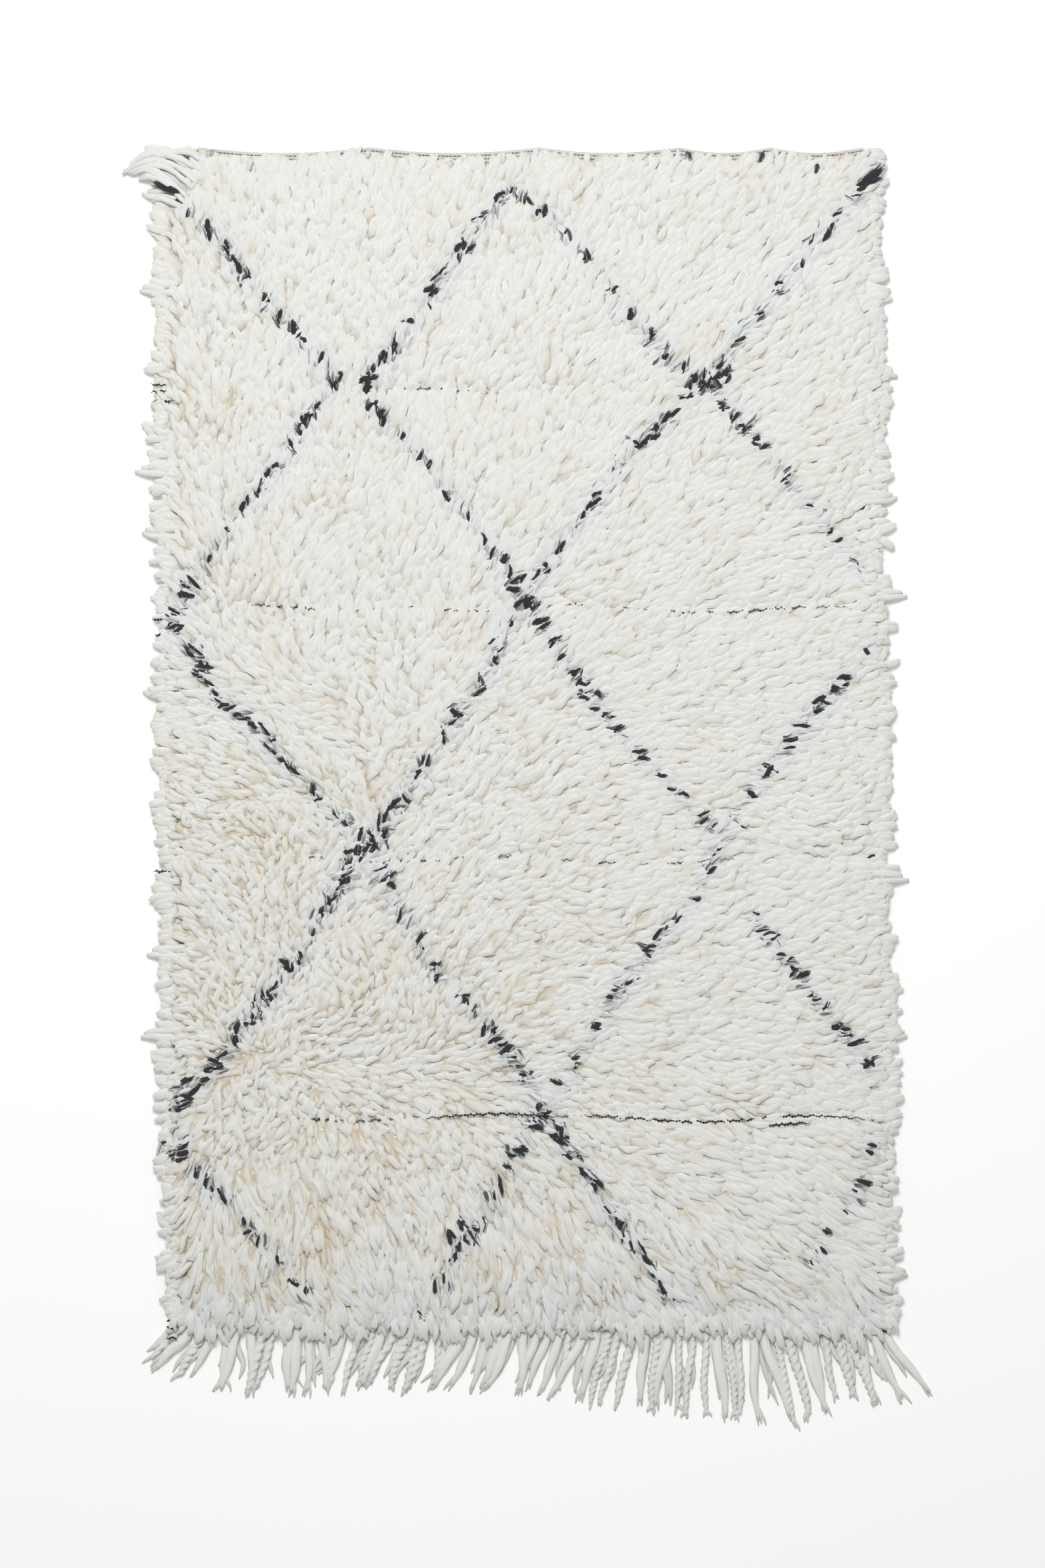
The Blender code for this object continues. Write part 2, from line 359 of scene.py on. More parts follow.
def spin(strands):
    """One mesh of closed tubes, a tube for each strand, each in its own cell of the map."""
    mesh = bmesh.new()
    layers = {key: mesh.verts.layers.float.new(key) for key in ("along", "across", *WOOL_VALUES)}
    grain = mesh.verts.layers.float_vector.new("grain")
    chart = mesh.loops.layers.uv.new("OFBake")
    cells = math.ceil(math.sqrt(len(strands)))
    for number, one in enumerate(strands):
        line = one["line"]
        section = one["section"]
        corner = Vector((number % cells, number // cells))
        rings = []
        length = 0.0
        for index, (middle, width) in enumerate(zip(line, one["widths"])):
            before = line[max(index - 1, 0)]
            forward = (line[min(index + 1, len(line) - 1)] - before).normalized()
            aside = Vector((-forward.y, forward.x, 0)).normalized()
            up = forward.cross(aside)
            length += (middle - before).length
            turn = math.tau * one["twist"] * index / (len(line) - 1)
            ring = []
            for spoke, (wide, high) in enumerate(section):
                out = wide * math.cos(turn) - high * math.sin(turn)
                rise = wide * math.sin(turn) + high * math.cos(turn)
                vert = mesh.verts.new(middle + (aside * out + up * rise * one["flat"]) * width)
                vert[layers["along"]] = index / (len(line) - 1)
                vert[layers["across"]] = out
                vert[grain] = (length / FIBRE_LENGTH, spoke * width / FIBRE_WIDTH, 0)
                for key in WOOL_VALUES:
                    vert[layers[key]] = one[key]
                ring.append(vert)
            rings.append(ring)
        count = len(section)
        for index, (low, high) in enumerate(zip(rings, rings[1:])):
            for side in range(count):
                after = (side + 1) % count
                face = mesh.faces.new((low[side], low[after], high[after], high[side]))
                spots = ((side, index), (side + 1, index), (side + 1, index + 1), (side, index + 1))
                for loop, (u, v) in zip(face.loops, spots):
                    spot = Vector((0.05 + 0.9 * u / count, 0.08 + 0.84 * v / (len(rings) - 1)))
                    loop[chart].uv = (corner + spot) / cells
        for ring, height in ((rings[0][::-1], 0.04), (rings[-1], 0.96)):
            for side, loop in enumerate(mesh.faces.new(ring).loops):
                angle = math.tau * side / count
                spot = Vector((0.5 + 0.03 * math.cos(angle), height + 0.03 * math.sin(angle)))
                loop[chart].uv = (corner + spot) / cells
    bmesh.ops.recalc_face_normals(mesh, faces=mesh.faces)
    return mesh


def fibre_nodes():
    """A node group that draws a strand's own fibres, as a height and as streaks from 0 to 1."""
    tree = bpy.data.node_groups.new("wool_fibres", "ShaderNodeTree")
    tree.interface.new_socket("Height", in_out="OUTPUT", socket_type="NodeSocketFloat")
    tree.interface.new_socket("Streaks", in_out="OUTPUT", socket_type="NodeSocketFloat")
    grain = add(tree, "ShaderNodeAttribute", attribute_name="grain").outputs["Vector"]
    tone = add(tree, "ShaderNodeAttribute", attribute_name="tone").outputs["Fac"]
    apart = add(tree, "ShaderNodeCombineXYZ", {"Z": tone})
    place = add(
        tree, "ShaderNodeVectorMath", {0: apart.outputs[0], 1: (0, 0, 60), 2: grain}, operation="MULTIPLY_ADD"
    )
    fine = add(
        tree,
        "ShaderNodeTexNoise",
        {"Vector": place.outputs[0], "Scale": 1.0, "Detail": 3.0, "Roughness": 0.6},
    )
    coarse = add(
        tree,
        "ShaderNodeTexNoise",
        {"Vector": place.outputs[0], "Scale": 0.45, "Detail": 2.0, "Roughness": 0.6},
    )
    streaks = add(
        tree, "ShaderNodeMapRange", {"Value": coarse.outputs["Fac"], "From Min": 0.33, "From Max": 0.67}
    )
    both = add(
        tree,
        "ShaderNodeMix",
        {"Factor": 0.5, "A": fine.outputs["Fac"], "B": coarse.outputs["Fac"]},
        data_type="FLOAT",
    )
    add(tree, "NodeGroupOutput", {0: both.outputs[0], 1: streaks.outputs[0]})
    return tree


def spun_wool(name, painted_shade_colours, painted_shade_levels, relief, softness):
    """Matt spun wool: root, middle and tip colours between two heights, darker lower down as painted shade,
    and darker dyed knots.

    Its shading normal leans to straight up by its softness, as loose fibres scatter the light.
    """
    wool, tree, shader = new_material(name, WOOL_ROUGHNESS)
    value = {
        key: add(tree, "ShaderNodeAttribute", attribute_name=key).outputs["Fac"]
        for key in ("along", "across", "brushed", *WOOL_VALUES)
    }
    fibre = add(tree, "ShaderNodeGroup", node_tree=wool_fibres).outputs
    where = add(tree, "ShaderNodeTexCoord").outputs["Object"]

    def maths(kind, first, second=0.0, third=0.0, clamp=False):
        return add(
            tree, "ShaderNodeMath", {0: first, 1: second, 2: third}, operation=kind, use_clamp=clamp
        ).outputs[0]

    def mixed(kind, factor, first, second):
        return add(
            tree, "ShaderNodeMix", {0: factor, 6: first, 7: second}, data_type="RGBA", blend_type=kind
        ).outputs[2]

    # How high the point is in the pile, which sets its painted shade, with the rough and the creamy patches
    # lower and so more shaded.
    height = add(tree, "ShaderNodeSeparateXYZ", {0: where}).outputs["Z"]
    level = add(
        tree,
        "ShaderNodeMapRange",
        {
            "Value": maths("DIVIDE", height, value["full"]),
            "From Min": painted_shade_levels[0],
            "From Max": painted_shade_levels[1],
        },
        clamp=False,
    ).outputs[0]
    patch = add(tree, "ShaderNodeTexNoise", {"Vector": where, "Scale": WARM_PATCHES, "Detail": 2.0})
    warm = add(
        tree,
        "ShaderNodeMapRange",
        {"Value": patch.outputs["Fac"], "From Min": 0.40, "From Max": 0.68},
    ).outputs[0]
    rough = maths("SUBTRACT", 1.0, value["brushed"])
    sunk = maths("MULTIPLY_ADD", rough, -0.12, maths("MULTIPLY", warm, -0.20))
    lowered = maths("ADD", level, sunk)
    painted_shade_depth = maths("MULTIPLY_ADD", fibre["Streaks"], 0.24, maths("SUBTRACT", lowered, 0.05))
    # The undyed wool in painted shade, darkest and warmest at the root and lightest at the tip, with painted
    # shade along its fibres' streaks.
    painted_shade_ramp = add(tree, "ShaderNodeValToRGB", {"Fac": painted_shade_depth})
    root, middle, tip = painted_shade_colours
    painted_shade_ramp.color_ramp.elements[0].color = root
    painted_shade_ramp.color_ramp.elements[1].color = tip
    painted_shade_ramp.color_ramp.elements[1].position = 0.85
    painted_shade_ramp.color_ramp.elements.new(0.45).color = middle
    spread = maths("MULTIPLY_ADD", rough, 0.22, 0.45)
    cream = maths("MULTIPLY", maths("MULTIPLY", maths("POWER", value["tone"], 1.3), warm), spread)
    creamy = mixed("MULTIPLY", cream, painted_shade_ramp.outputs[0], CREAM)
    # Cool grey: the dye's bleed beside the dark knots, and painted cool spill light at the rim and towards
    # the fringe.
    bleed_and_spill_tinted = mixed("MULTIPLY", value["cool"], creamy, COOL_BLEED_AND_SPILL)
    # Painted shade between the fibres, along their streaks.
    fibre_shaded = mixed("MULTIPLY", fibre["Streaks"], bleed_and_spill_tinted, PAINTED_FIBRE_SHADE)
    # The dye, which takes best along the middle of a strand and least at its sides and its tip.
    edge = maths(
        "MAXIMUM",
        maths("ABSOLUTE", value["across"]),
        maths("MULTIPLY", maths("SUBTRACT", value["along"], 0.6), 2.5),
    )
    frayed = maths("MULTIPLY_ADD", maths("POWER", maths("MAXIMUM", edge, 0.0), 2.0), -1.1, -0.90)
    dyed = maths("MULTIPLY_ADD", value["dark"], 1.7, maths("MULTIPLY_ADD", fibre["Streaks"], 0.9, frayed))
    dark = maths("MULTIPLY", dyed, 1.6, clamp=True)
    black = mixed("MIX", value["dark"], THIN_DYE, FULL_DYE)
    smoky = mixed("ADD", maths("MULTIPLY", fibre["Height"], 0.05), black, DYE_LIGHT)
    tree.links.new(mixed("MIX", dark, fibre_shaded, smoky), shader.inputs["Base Color"])
    # The fibres' relief, on the softened normal.
    normal = add(tree, "ShaderNodeNewGeometry").outputs["Normal"]
    upright = add(tree, "ShaderNodeMix", {0: softness, 4: normal, 5: (0, 0, 1)}, data_type="VECTOR")
    softened = add(tree, "ShaderNodeVectorMath", {0: upright.outputs[1]}, operation="NORMALIZE")
    bump = add(
        tree,
        "ShaderNodeBump",
        {"Height": fibre["Height"], "Strength": 0.5, "Distance": relief, "Normal": softened.outputs[0]},
    )
    tree.links.new(bump.outputs[0], shader.inputs["Normal"])
    shader.inputs["Sheen Weight"].default_value = SHEEN
    return wool


def band_yarns():
    """The twined rows, each along the whole top edge, and the grey ties across them."""
    chance = random.Random(3)
    yarns = []
    for row, from_edge in enumerate(TWINED_ROWS):
        width = TOP_RIGHT.x - TOP_LEFT.x
        count = round(width / TWINED_STEP)
        line = []
        for index in range(count + 1):
            place = cloth(0.001 + 0.998 * index / count, 0.0)
            place.y -= from_edge
            line.append(Vector((*place, WEAVE_THICKNESS + 0.7 * TWINED_RADIUS)))
        turns = width / TWINED_TURN * (1 if row % 2 else -1)
        yarns.append(strand(line, (TWINED_RADIUS,) * 2, TWO_PLY, turns, tone=chance.random()))
    for x, from_edge, lean, length, dark in GREY_TIES:
        across = (x - TOP_LEFT.x) / (TOP_RIGHT.x - TOP_LEFT.x)
        top = cloth(across, 0.0)
        top.y -= from_edge
        places = (
            (top.x + lean, top.y),
            (top.x + 0.4 * lean, top.y - 0.45 * length),
            (top.x, top.y - length),
        )
        points = [Vector((*place, height)) for place, height in zip(places, GREY_TIE_HEIGHTS)]
        yarns.append(strand(through(points, 8), GREY_TIE_WIDTHS, ROUND, 0.4, 0.7, dark=dark))
    return yarns


wool_fibres = fibre_nodes()
band_wool = spun_wool("band_wool", BAND_PAINTED_SHADE_COLOURS, BAND_PAINTED_SHADE_LEVELS, BAND_RELIEF, BAND_SOFTNESS)
band = keep("twined_band", spin(band_yarns()), band_wool)
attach(band, "root")

# ---- The pile -----------------------------------------------------------------------------------
# Thousands of knots of soft hand-spun wool, each with one thick cut lock. They are tied in rows
# between the wefts, lie the way the rug was brushed, and are dark along the diamond lattice.
PILE_HEIGHT = 0.027
RIM_HEIGHT = 0.015
RIM_WIDTH = 0.045
# Soft lumps in the pile: how far apart and how high.
LUMPS = ((0.110, 0.0034), (0.048, 0.0026))
# The y of each weft line at which the pile parts.
PARTINGS = (0.529, 0.239, -0.097, -0.446)
PARTING_DEPTH = 0.004
PARTING_WIDTH = 0.014
KNOT_PITCH = 0.0110
KNOT_JITTER = 0.0042
KNOT_FOOT = 0.003
UNDER_PITCH = 0.0160
# Along the lattice's lines the gaps between knots are uneven: shares of the pitch.
DARK_PITCH = 0.0165
DARK_GAPS = (0.35, 0.6, 1.0, 2.1)
DARK_SCATTER = 0.0032
LINE_REACH = 0.0060  # half the width of a line
BLOT_SCATTER = 0.005
# Where two more dark knots make the lattice darker: x and y.
BLOTS = (
    (0.276, 0.557), (0.262, 0.548), (0.228, 0.542), (-0.467, 0.237), (0.018, 0.247), (0.091, 0.128),
    (-0.341, 0.066), (-0.214, -0.094), (-0.220, -0.104), (-0.470, -0.485), (-0.066, -0.607),
    (-0.246, 0.552), (-0.202, 0.541), (0.030, -0.450), (0.052, -0.470), (-0.068, 0.735),
    (-0.480, -0.474), (-0.455, -0.498), (-0.462, -0.425), (-0.078, -0.590), (0.146, -0.590),
    (-0.466, -0.478), (-0.461, -0.488), (-0.440, -0.402), (-0.090, -0.603), (-0.182, -0.062),
)
SEEN_SHARE = 0.7  # where along its reach a lock shows most
FLAT_LAY = 0.30  # how strong the lie is where the pile is brushed flat
SWIRL_SIZE = 0.07
RIM_OVERHANG = 0.006
# How far locks hang over the band, and how far from BARE_FROM to the right, where more of it shows.
BAND_OVERHANG = (0.006, 0.017)
BARE_OVERHANG = (0.003, 0.012)
BARE_FROM = -0.20
# Towards the fringe the locks get longer, clumped and more uneven, and a painted cool spill light tints them.
SHAGGY_FROM = -0.46
SHAGGY_DEPTH = 0.10
CLUMP_WIDTH = 0.016
CLUMP_LENGTH = 0.026
PAINTED_SPILL_FROM = -0.60
PAINTED_SPILL_DEPTH = 0.08
# The dense foot of the pile.
CORE_ROWS = 100
CORE_COLUMNS = 62
CORE_INSET = 0.010
CORE_SHARE = 0.70
CORE_FOOT = WEAVE_THICKNESS + 0.0003
CORE_TUFT = 0.013
CORE_RELIEF = 0.0012
CORE_FIBRES = 190.0
# The core's wool, darker and creamier than the tips as painted shade down in the crevices.
CORE_PAINTED_SHADE_COLOURS = ((0.73, 0.69, 0.60, 1), (0.86, 0.845, 0.80, 1))
# The pile's wool from root to tip, darker and warmer lower down as painted shade in the crevices, between
# these heights.
PILE_PAINTED_SHADE_COLOURS = ((0.655, 0.57, 0.45, 1), (0.80, 0.775, 0.71, 1), (0.852, 0.858, 0.838, 1))
PILE_PAINTED_SHADE_LEVELS = (0.0178, 0.0238)
PILE_RELIEF = 0.0034
# The crimp of a lock: how long one wave is, and how far it swings.
PILE_CRIMP = (0.015, 0.024)
# Straight out over the left, the right and the lower edge.
OUTWARD = (Vector((-1, 0)), Vector((1, 0)), Vector((0, -1)))
# A lock's half width along its length, as a share of its fullest.
TAPER = ((0.0, 0.60), (0.33, 0.92), (0.52, 1.0), (0.70, 1.0), (0.85, 0.90), (0.95, 0.60))
UNDER_TAPER = ((0.0, 0.60), (0.45, 1.0), (0.92, 0.75))
THREAD_TAPER = ((0.0, 1.0), (0.40, 1.0), (0.75, 0.8))
# A lock's section: points round it, in half widths and half heights.
SECTION = ((1, -0.35), (0, 0.85), (-1, -0.35), (0, -1))
THREAD_SECTION = ((1, -0.6), (0, 1), (-1, -0.6))
# Each shape of lock: reach, crown, height of the tip, sideways bend, half width and half height. The
# combed ones lie smooth and the nubs are short and plump.
COMBED = (
    (0.042, 0.0211, 0.0176, 0.005, 0.0046, 0.0028),
    (0.037, 0.0214, 0.0180, -0.006, 0.0049, 0.0030),
    (0.048, 0.0208, 0.0172, -0.004, 0.0042, 0.0027),
    (0.034, 0.0217, 0.0184, 0.007, 0.0048, 0.0030),
)
NUBS = (
    (0.034, 0.0215, 0.0168, 0.008, 0.0045, 0.0038),
    (0.029, 0.0219, 0.0172, -0.010, 0.0047, 0.0040),
    (0.039, 0.0211, 0.0164, 0.013, 0.0042, 0.0036),
    (0.025, 0.0223, 0.0178, -0.006, 0.0050, 0.0042),
)
# The plumper locks below them, which fill the pile.
UNDER = (
    (0.046, 0.0194, 0.0166, 0.004, 0.0084, 0.0028),
    (0.040, 0.0198, 0.0168, -0.006, 0.0090, 0.0030),
)
# The lattice's short dark locks, and the loose fibres round them.
DARK = (
    (0.025, 0.0212, 0.0190, 0.003, 0.0052, 0.0036),
    (0.021, 0.0216, 0.0196, -0.004, 0.0045, 0.0036),
    (0.030, 0.0208, 0.0184, 0.005, 0.0040, 0.0032),
)
THREADS = (
    (0.022, 0.0222, 0.0214, 0.005, 0.0009, 0.0007),
    (0.017, 0.0224, 0.0216, -0.006, 0.0012, 0.0008),
)
SHAPES = (
    [(TAPER, SECTION, row) for row in COMBED + NUBS]
    + [(UNDER_TAPER, SECTION, row) for row in UNDER]
    + [(TAPER, SECTION, row) for row in DARK]
    + [(THREAD_TAPER, THREAD_SECTION, row) for row in THREADS]
)
FIRST_UNDER = len(COMBED + NUBS)
FIRST_DARK = FIRST_UNDER + len(UNDER)
FIRST_THREAD = FIRST_DARK + len(DARK)
# How the pile lies: y, the x from which it lies to both sides, and how much it lies up the rug.
BRUSHED = (
    (0.86, -0.25, 0.60),
    (0.68, -0.34, 0.66),
    (0.50, -0.38, 0.55),
    (0.32, -0.33, 0.33),
    (0.14, -0.17, 0.13),
    (-0.03, -0.18, 0.07),
    (-0.13, -0.33, 0.12),
    (-0.31, -0.36, 0.10),
    (-0.49, -0.32, -0.27),
    (-0.60, -0.38, -0.55),
    (-0.74, -0.38, -1.05),
)
# Right of this x the pile is brushed smooth and left of it rough: y and x.
SMOOTH_FROM = (
    (0.86, -0.60),
    (0.40, -0.60),
    (0.20, -0.54),
    (-0.05, -0.20),
    (-0.30, -0.05),
    (-0.50, -0.05),
    (-0.62, 0.14),
    (-0.74, 0.50),
)
SMOOTH_WIDTH = 0.30
# Where hands and feet have turned the pile from that lie: x, y, how wide, and how far it is turned.
WHORLS = (
    (-0.050, 0.350, 0.14, 0.40),
    (0.046, 0.727, 0.11, 0.35),
    (-0.296, 0.268, 0.08, -0.55),
    (0.430, 0.286, 0.09, -0.35),
    (-0.080, -0.038, 0.08, 0.60),
    (-0.160, -0.300, 0.12, 1.10),
    (-0.160, -0.450, 0.09, -0.65),
    (-0.010, -0.630, 0.14, -0.45),
)
# The diamond lattice, line by line: x, y and how heavy the line is there.
LATTICE = (
    ((-0.484, 0.808, 1.2), (-0.399, 0.734, 1.0), (-0.331, 0.645, 0.8), (-0.246, 0.552, 1.1)),
    (
        (-0.198, 0.515, 1.1), (-0.124, 0.436, 0.8), (-0.055, 0.349, 0.8), (0.010, 0.256, 1.1),
        (0.093, 0.126, 1.0), (0.188, 0.017, 0.8), (0.268, -0.057, 0.8),
    ),
    ((0.315, -0.168, 0.6), (0.400, -0.284, 0.9), (0.474, -0.380, 1.2)),
    ((-0.008, 0.811, 1.0), (-0.061, 0.743, 0.9), (-0.124, 0.653, 1.0), (-0.204, 0.541, 1.2)),
    ((-0.246, 0.552, 1.2), (-0.331, 0.425, 0.9), (-0.399, 0.340, 0.8), (-0.473, 0.229, 1.2)),
    (
        (-0.008, 0.811, 0.8), (0.082, 0.727, 0.8), (0.156, 0.631, 0.9), (0.231, 0.557, 1.0),
        (0.305, 0.480, 1.0), (0.389, 0.383, 0.8), (0.479, 0.271, 0.5),
    ),
    (
        (0.479, 0.817, 1.3), (0.389, 0.716, 0.9), (0.315, 0.626, 0.8), (0.257, 0.544, 1.1),
        (0.199, 0.494, 1.1), (0.135, 0.425, 0.8), (0.061, 0.330, 0.9), (0.003, 0.245, 1.2),
        (-0.055, 0.129, 0.9), (-0.129, 0.028, 0.9), (-0.214, -0.088, 1.4), (-0.299, -0.226, 1.0),
        (-0.373, -0.327, 1.0), (-0.473, -0.448, 1.2),
    ),
    (
        (-0.473, 0.229, 1.2), (-0.405, 0.123, 1.0), (-0.346, 0.065, 1.0), (-0.267, -0.020, 0.9),
        (-0.198, -0.078, 1.1), (-0.124, -0.226, 0.9), (-0.039, -0.321, 1.0), (0.040, -0.443, 1.1),
        (0.125, -0.575, 1.1), (0.220, -0.718, 0.8),
    ),
    (
        (0.479, 0.187, 0.7), (0.421, 0.123, 1.1), (0.347, 0.033, 0.9), (0.283, -0.057, 0.7),
        (0.246, -0.147, 0.9), (0.156, -0.247, 0.9), (0.088, -0.358, 0.8), (0.029, -0.454, 1.0),
        (-0.066, -0.607, 1.1), (-0.135, -0.718, 0.6),
    ),
    ((-0.468, -0.480, 1.1), (-0.384, -0.575, 0.8), (-0.309, -0.655, 1.0), (-0.265, -0.713, 0.7)),
    ((0.482, -0.475, 1.1), (0.453, -0.549, 0.9), (0.389, -0.655, 0.5)),
)


def inland(place):
    """How far a place lies inside the left, right, lower and banded edges of the pile."""
    down = (TOP_LEFT.y - place.y) / CLOTH_LENGTH
    left = cloth(0, down).x
    right = cloth(1, down).x
    across = (place.x - left) / (right - left)
    return (
        place.x - left,
        right - place.x,
        place.y - cloth(across, 1).y,
        cloth(across, 0).y - BAND_DEPTH - place.y,
    )


def clamped(value):
    """The value, held between 0 and 1."""
    return max(0.0, min(1.0, value))


def pile_height(place):
    """Height of the pile, which rounds down to its rim and parts at the dark weft lines."""
    left, right, lower, upper = inland(place)
    rise = clamped(min(left, right, lower, upper + RIM_WIDTH / 3) / RIM_WIDTH)
    dome = math.sqrt(1 - (1 - rise) ** 2)
    lumps = sum(
        height * noise.noise(Vector((place.x / size, place.y / size, size)))
        for size, height in LUMPS
    )
    parting = sum(math.exp(-(((place.y - y) / PARTING_WIDTH) ** 2)) for y in PARTINGS)
    relief = 2 * lumps * (0.4 + 0.6 * dome) - PARTING_DEPTH * parting * dome
    return RIM_HEIGHT + (PILE_HEIGHT - RIM_HEIGHT) * dome + relief


def lie(place):
    """Which way the pile lies, longer where it is brushed flatter."""
    parted, up = between(BRUSHED, place.y)
    turn = sum(
        angle * math.exp(-(place - Vector((x, y))).length_squared / wide**2)
        for x, y, wide, angle in WHORLS
    )
    lay = Vector((place.x - parted, up))
    lay.rotate(Matrix.Rotation(turn, 2))
    return lay


def smoothness(place):
    """How smooth the pile is brushed here: 1 for smooth, 0 for rough, and below 0 for roughest."""
    (start,) = between(SMOOTH_FROM, place.y)
    return min(max((place.x - start) / SMOOTH_WIDTH, -0.6), 1.0)


def line_weight(place):
    """How near a place is to the lattice's lines: 1 on a line, 0 at its reach, below 0 past it."""
    best = -math.inf
    for line in LATTICE:
        for (ax, ay, a), (bx, by, b) in zip(line, line[1:]):
            start = Vector((ax, ay))
            step = Vector((bx, by)) - start
            share = clamped((place - start).dot(step) / step.length_squared)
            weight = a + (b - a) * share
            gap = (place - start - step * share).length
            best = max(best, 1 - gap / (LINE_REACH * weight))
    return best


def lock_shape(name, taper, section, row):
    """One lock along +X from its knot, closed, with how far along and across it each point is."""
    reach, crown, tip, bend, half_width, half_height = row
    mesh = bmesh.new()
    along = mesh.verts.layers.float.new("along")
    across = mesh.verts.layers.float.new("across")
    grain = mesh.verts.layers.float_vector.new("grain")
    chart = mesh.loops.layers.uv.new("unit")
    guide = (
        Vector((0, 0, 0)),
        Vector((0.04 * reach, 0, 0.95 * crown)),
        Vector((0.55 * reach, 0.2 * bend, 1.12 * crown)),
        Vector((reach, bend, tip)),
    )

    def at(share):
        rest = 1 - share
        weights = (rest**3, 3 * rest**2 * share, 3 * rest * share**2, share**3)
        return sum((g * w for g, w in zip(guide, weights)), Vector())

    def point(place, share, wide):
        vert = mesh.verts.new(place)
        vert[along] = share
        vert[across] = wide
        vert[grain] = (share * reach / FIBRE_LENGTH, wide * half_width / FIBRE_WIDTH, 0)
        return vert

    rings = []
    for share, full in taper:
        middle = at(share)
        forward = (at(share + 0.01) - at(share - 0.01)).normalized()
        aside = Vector((-forward.y, max(forward.x, 0.2), 0)).normalized()
        up = forward.cross(aside)
        ring = [
            point(middle + (aside * wide * half_width + up * high * half_height) * full, share, wide)
            for wide, high in section
        ]
        rings.append(ring)
    end = point(at(1.0), 1.0, 0)
    count = len(section)
    for index, low in enumerate(rings):
        for side in range(count):
            after = (side + 1) % count
            if low is rings[-1]:
                face = mesh.faces.new((low[side], low[after], end))
                spots = ((side, index), (side + 1, index), (side + 0.5, index + 1))
            else:
                high = rings[index + 1]
                face = mesh.faces.new((low[side], low[after], high[after], high[side]))
                spots = ((side, index), (side + 1, index), (side + 1, index + 1), (side, index + 1))
            for loop, (u, v) in zip(face.loops, spots):
                loop[chart].uv = (0.05 + 0.9 * u / count, 0.10 + 0.85 * v / len(rings))
    for side, loop in enumerate(mesh.faces.new(rings[0][::-1]).loops):
        angle = math.tau * side / count
        loop[chart].uv = (0.5 + 0.03 * math.cos(angle), 0.05 + 0.03 * math.sin(angle))
    bmesh.ops.recalc_face_normals(mesh, faces=mesh.faces)
    # The upper side is shaded by itself up to the lock's two edges.
    for low, high in zip(rings, rings[1:] + [[end] * count]):
        for side, (wide, _) in enumerate(section):
            if abs(wide) == 1:
                mesh.edges.get((low[side], high[side])).smooth = False
    data = bpy.data.meshes.new(name)
    mesh.to_mesh(data)
    mesh.free()
    return bpy.data.objects.new(name, data)


KNOT_VALUES = {
    "turn": "FLOAT",  # angle of the lock from +X
    "size": "FLOAT_VECTOR",  # its length, width and height, as shares of its shape's
    "shape": "INT",
    "seed": "FLOAT",
    "dark": "FLOAT",  # 0 for ivory wool, 1 for the lattice's
    # how cool its tint is: the dye's bleed by the lattice, and painted cool spill light at the rim and lower
    # end
    "cool": "FLOAT",
    "tone": "FLOAT",
    "full": "FLOAT",  # height of the pile here, as a share of its full height
    "brushed": "FLOAT",  # how smooth the pile is here
    "cell": "FLOAT_VECTOR",  # its own cell of the map
}


def knot_mesh(name, knots):
    """One point for each knot, with its values as attributes."""
    cells = math.ceil(math.sqrt(len(knots)))
    for number, knot in enumerate(knots):
        knot["cell"] = (number % cells, number // cells, 0)
    data = bpy.data.meshes.new(name)
    data.from_pydata([knot["root"] for knot in knots], [], [])
    for key, kind in KNOT_VALUES.items():
        layer = data.attributes.new(key, kind, "POINT")
        if kind == "FLOAT_VECTOR":
            flat = [part for knot in knots for part in knot[key]]
            layer.data.foreach_set("vector", flat)
        else:
            layer.data.foreach_set("value", [knot[key] for knot in knots])
    return data


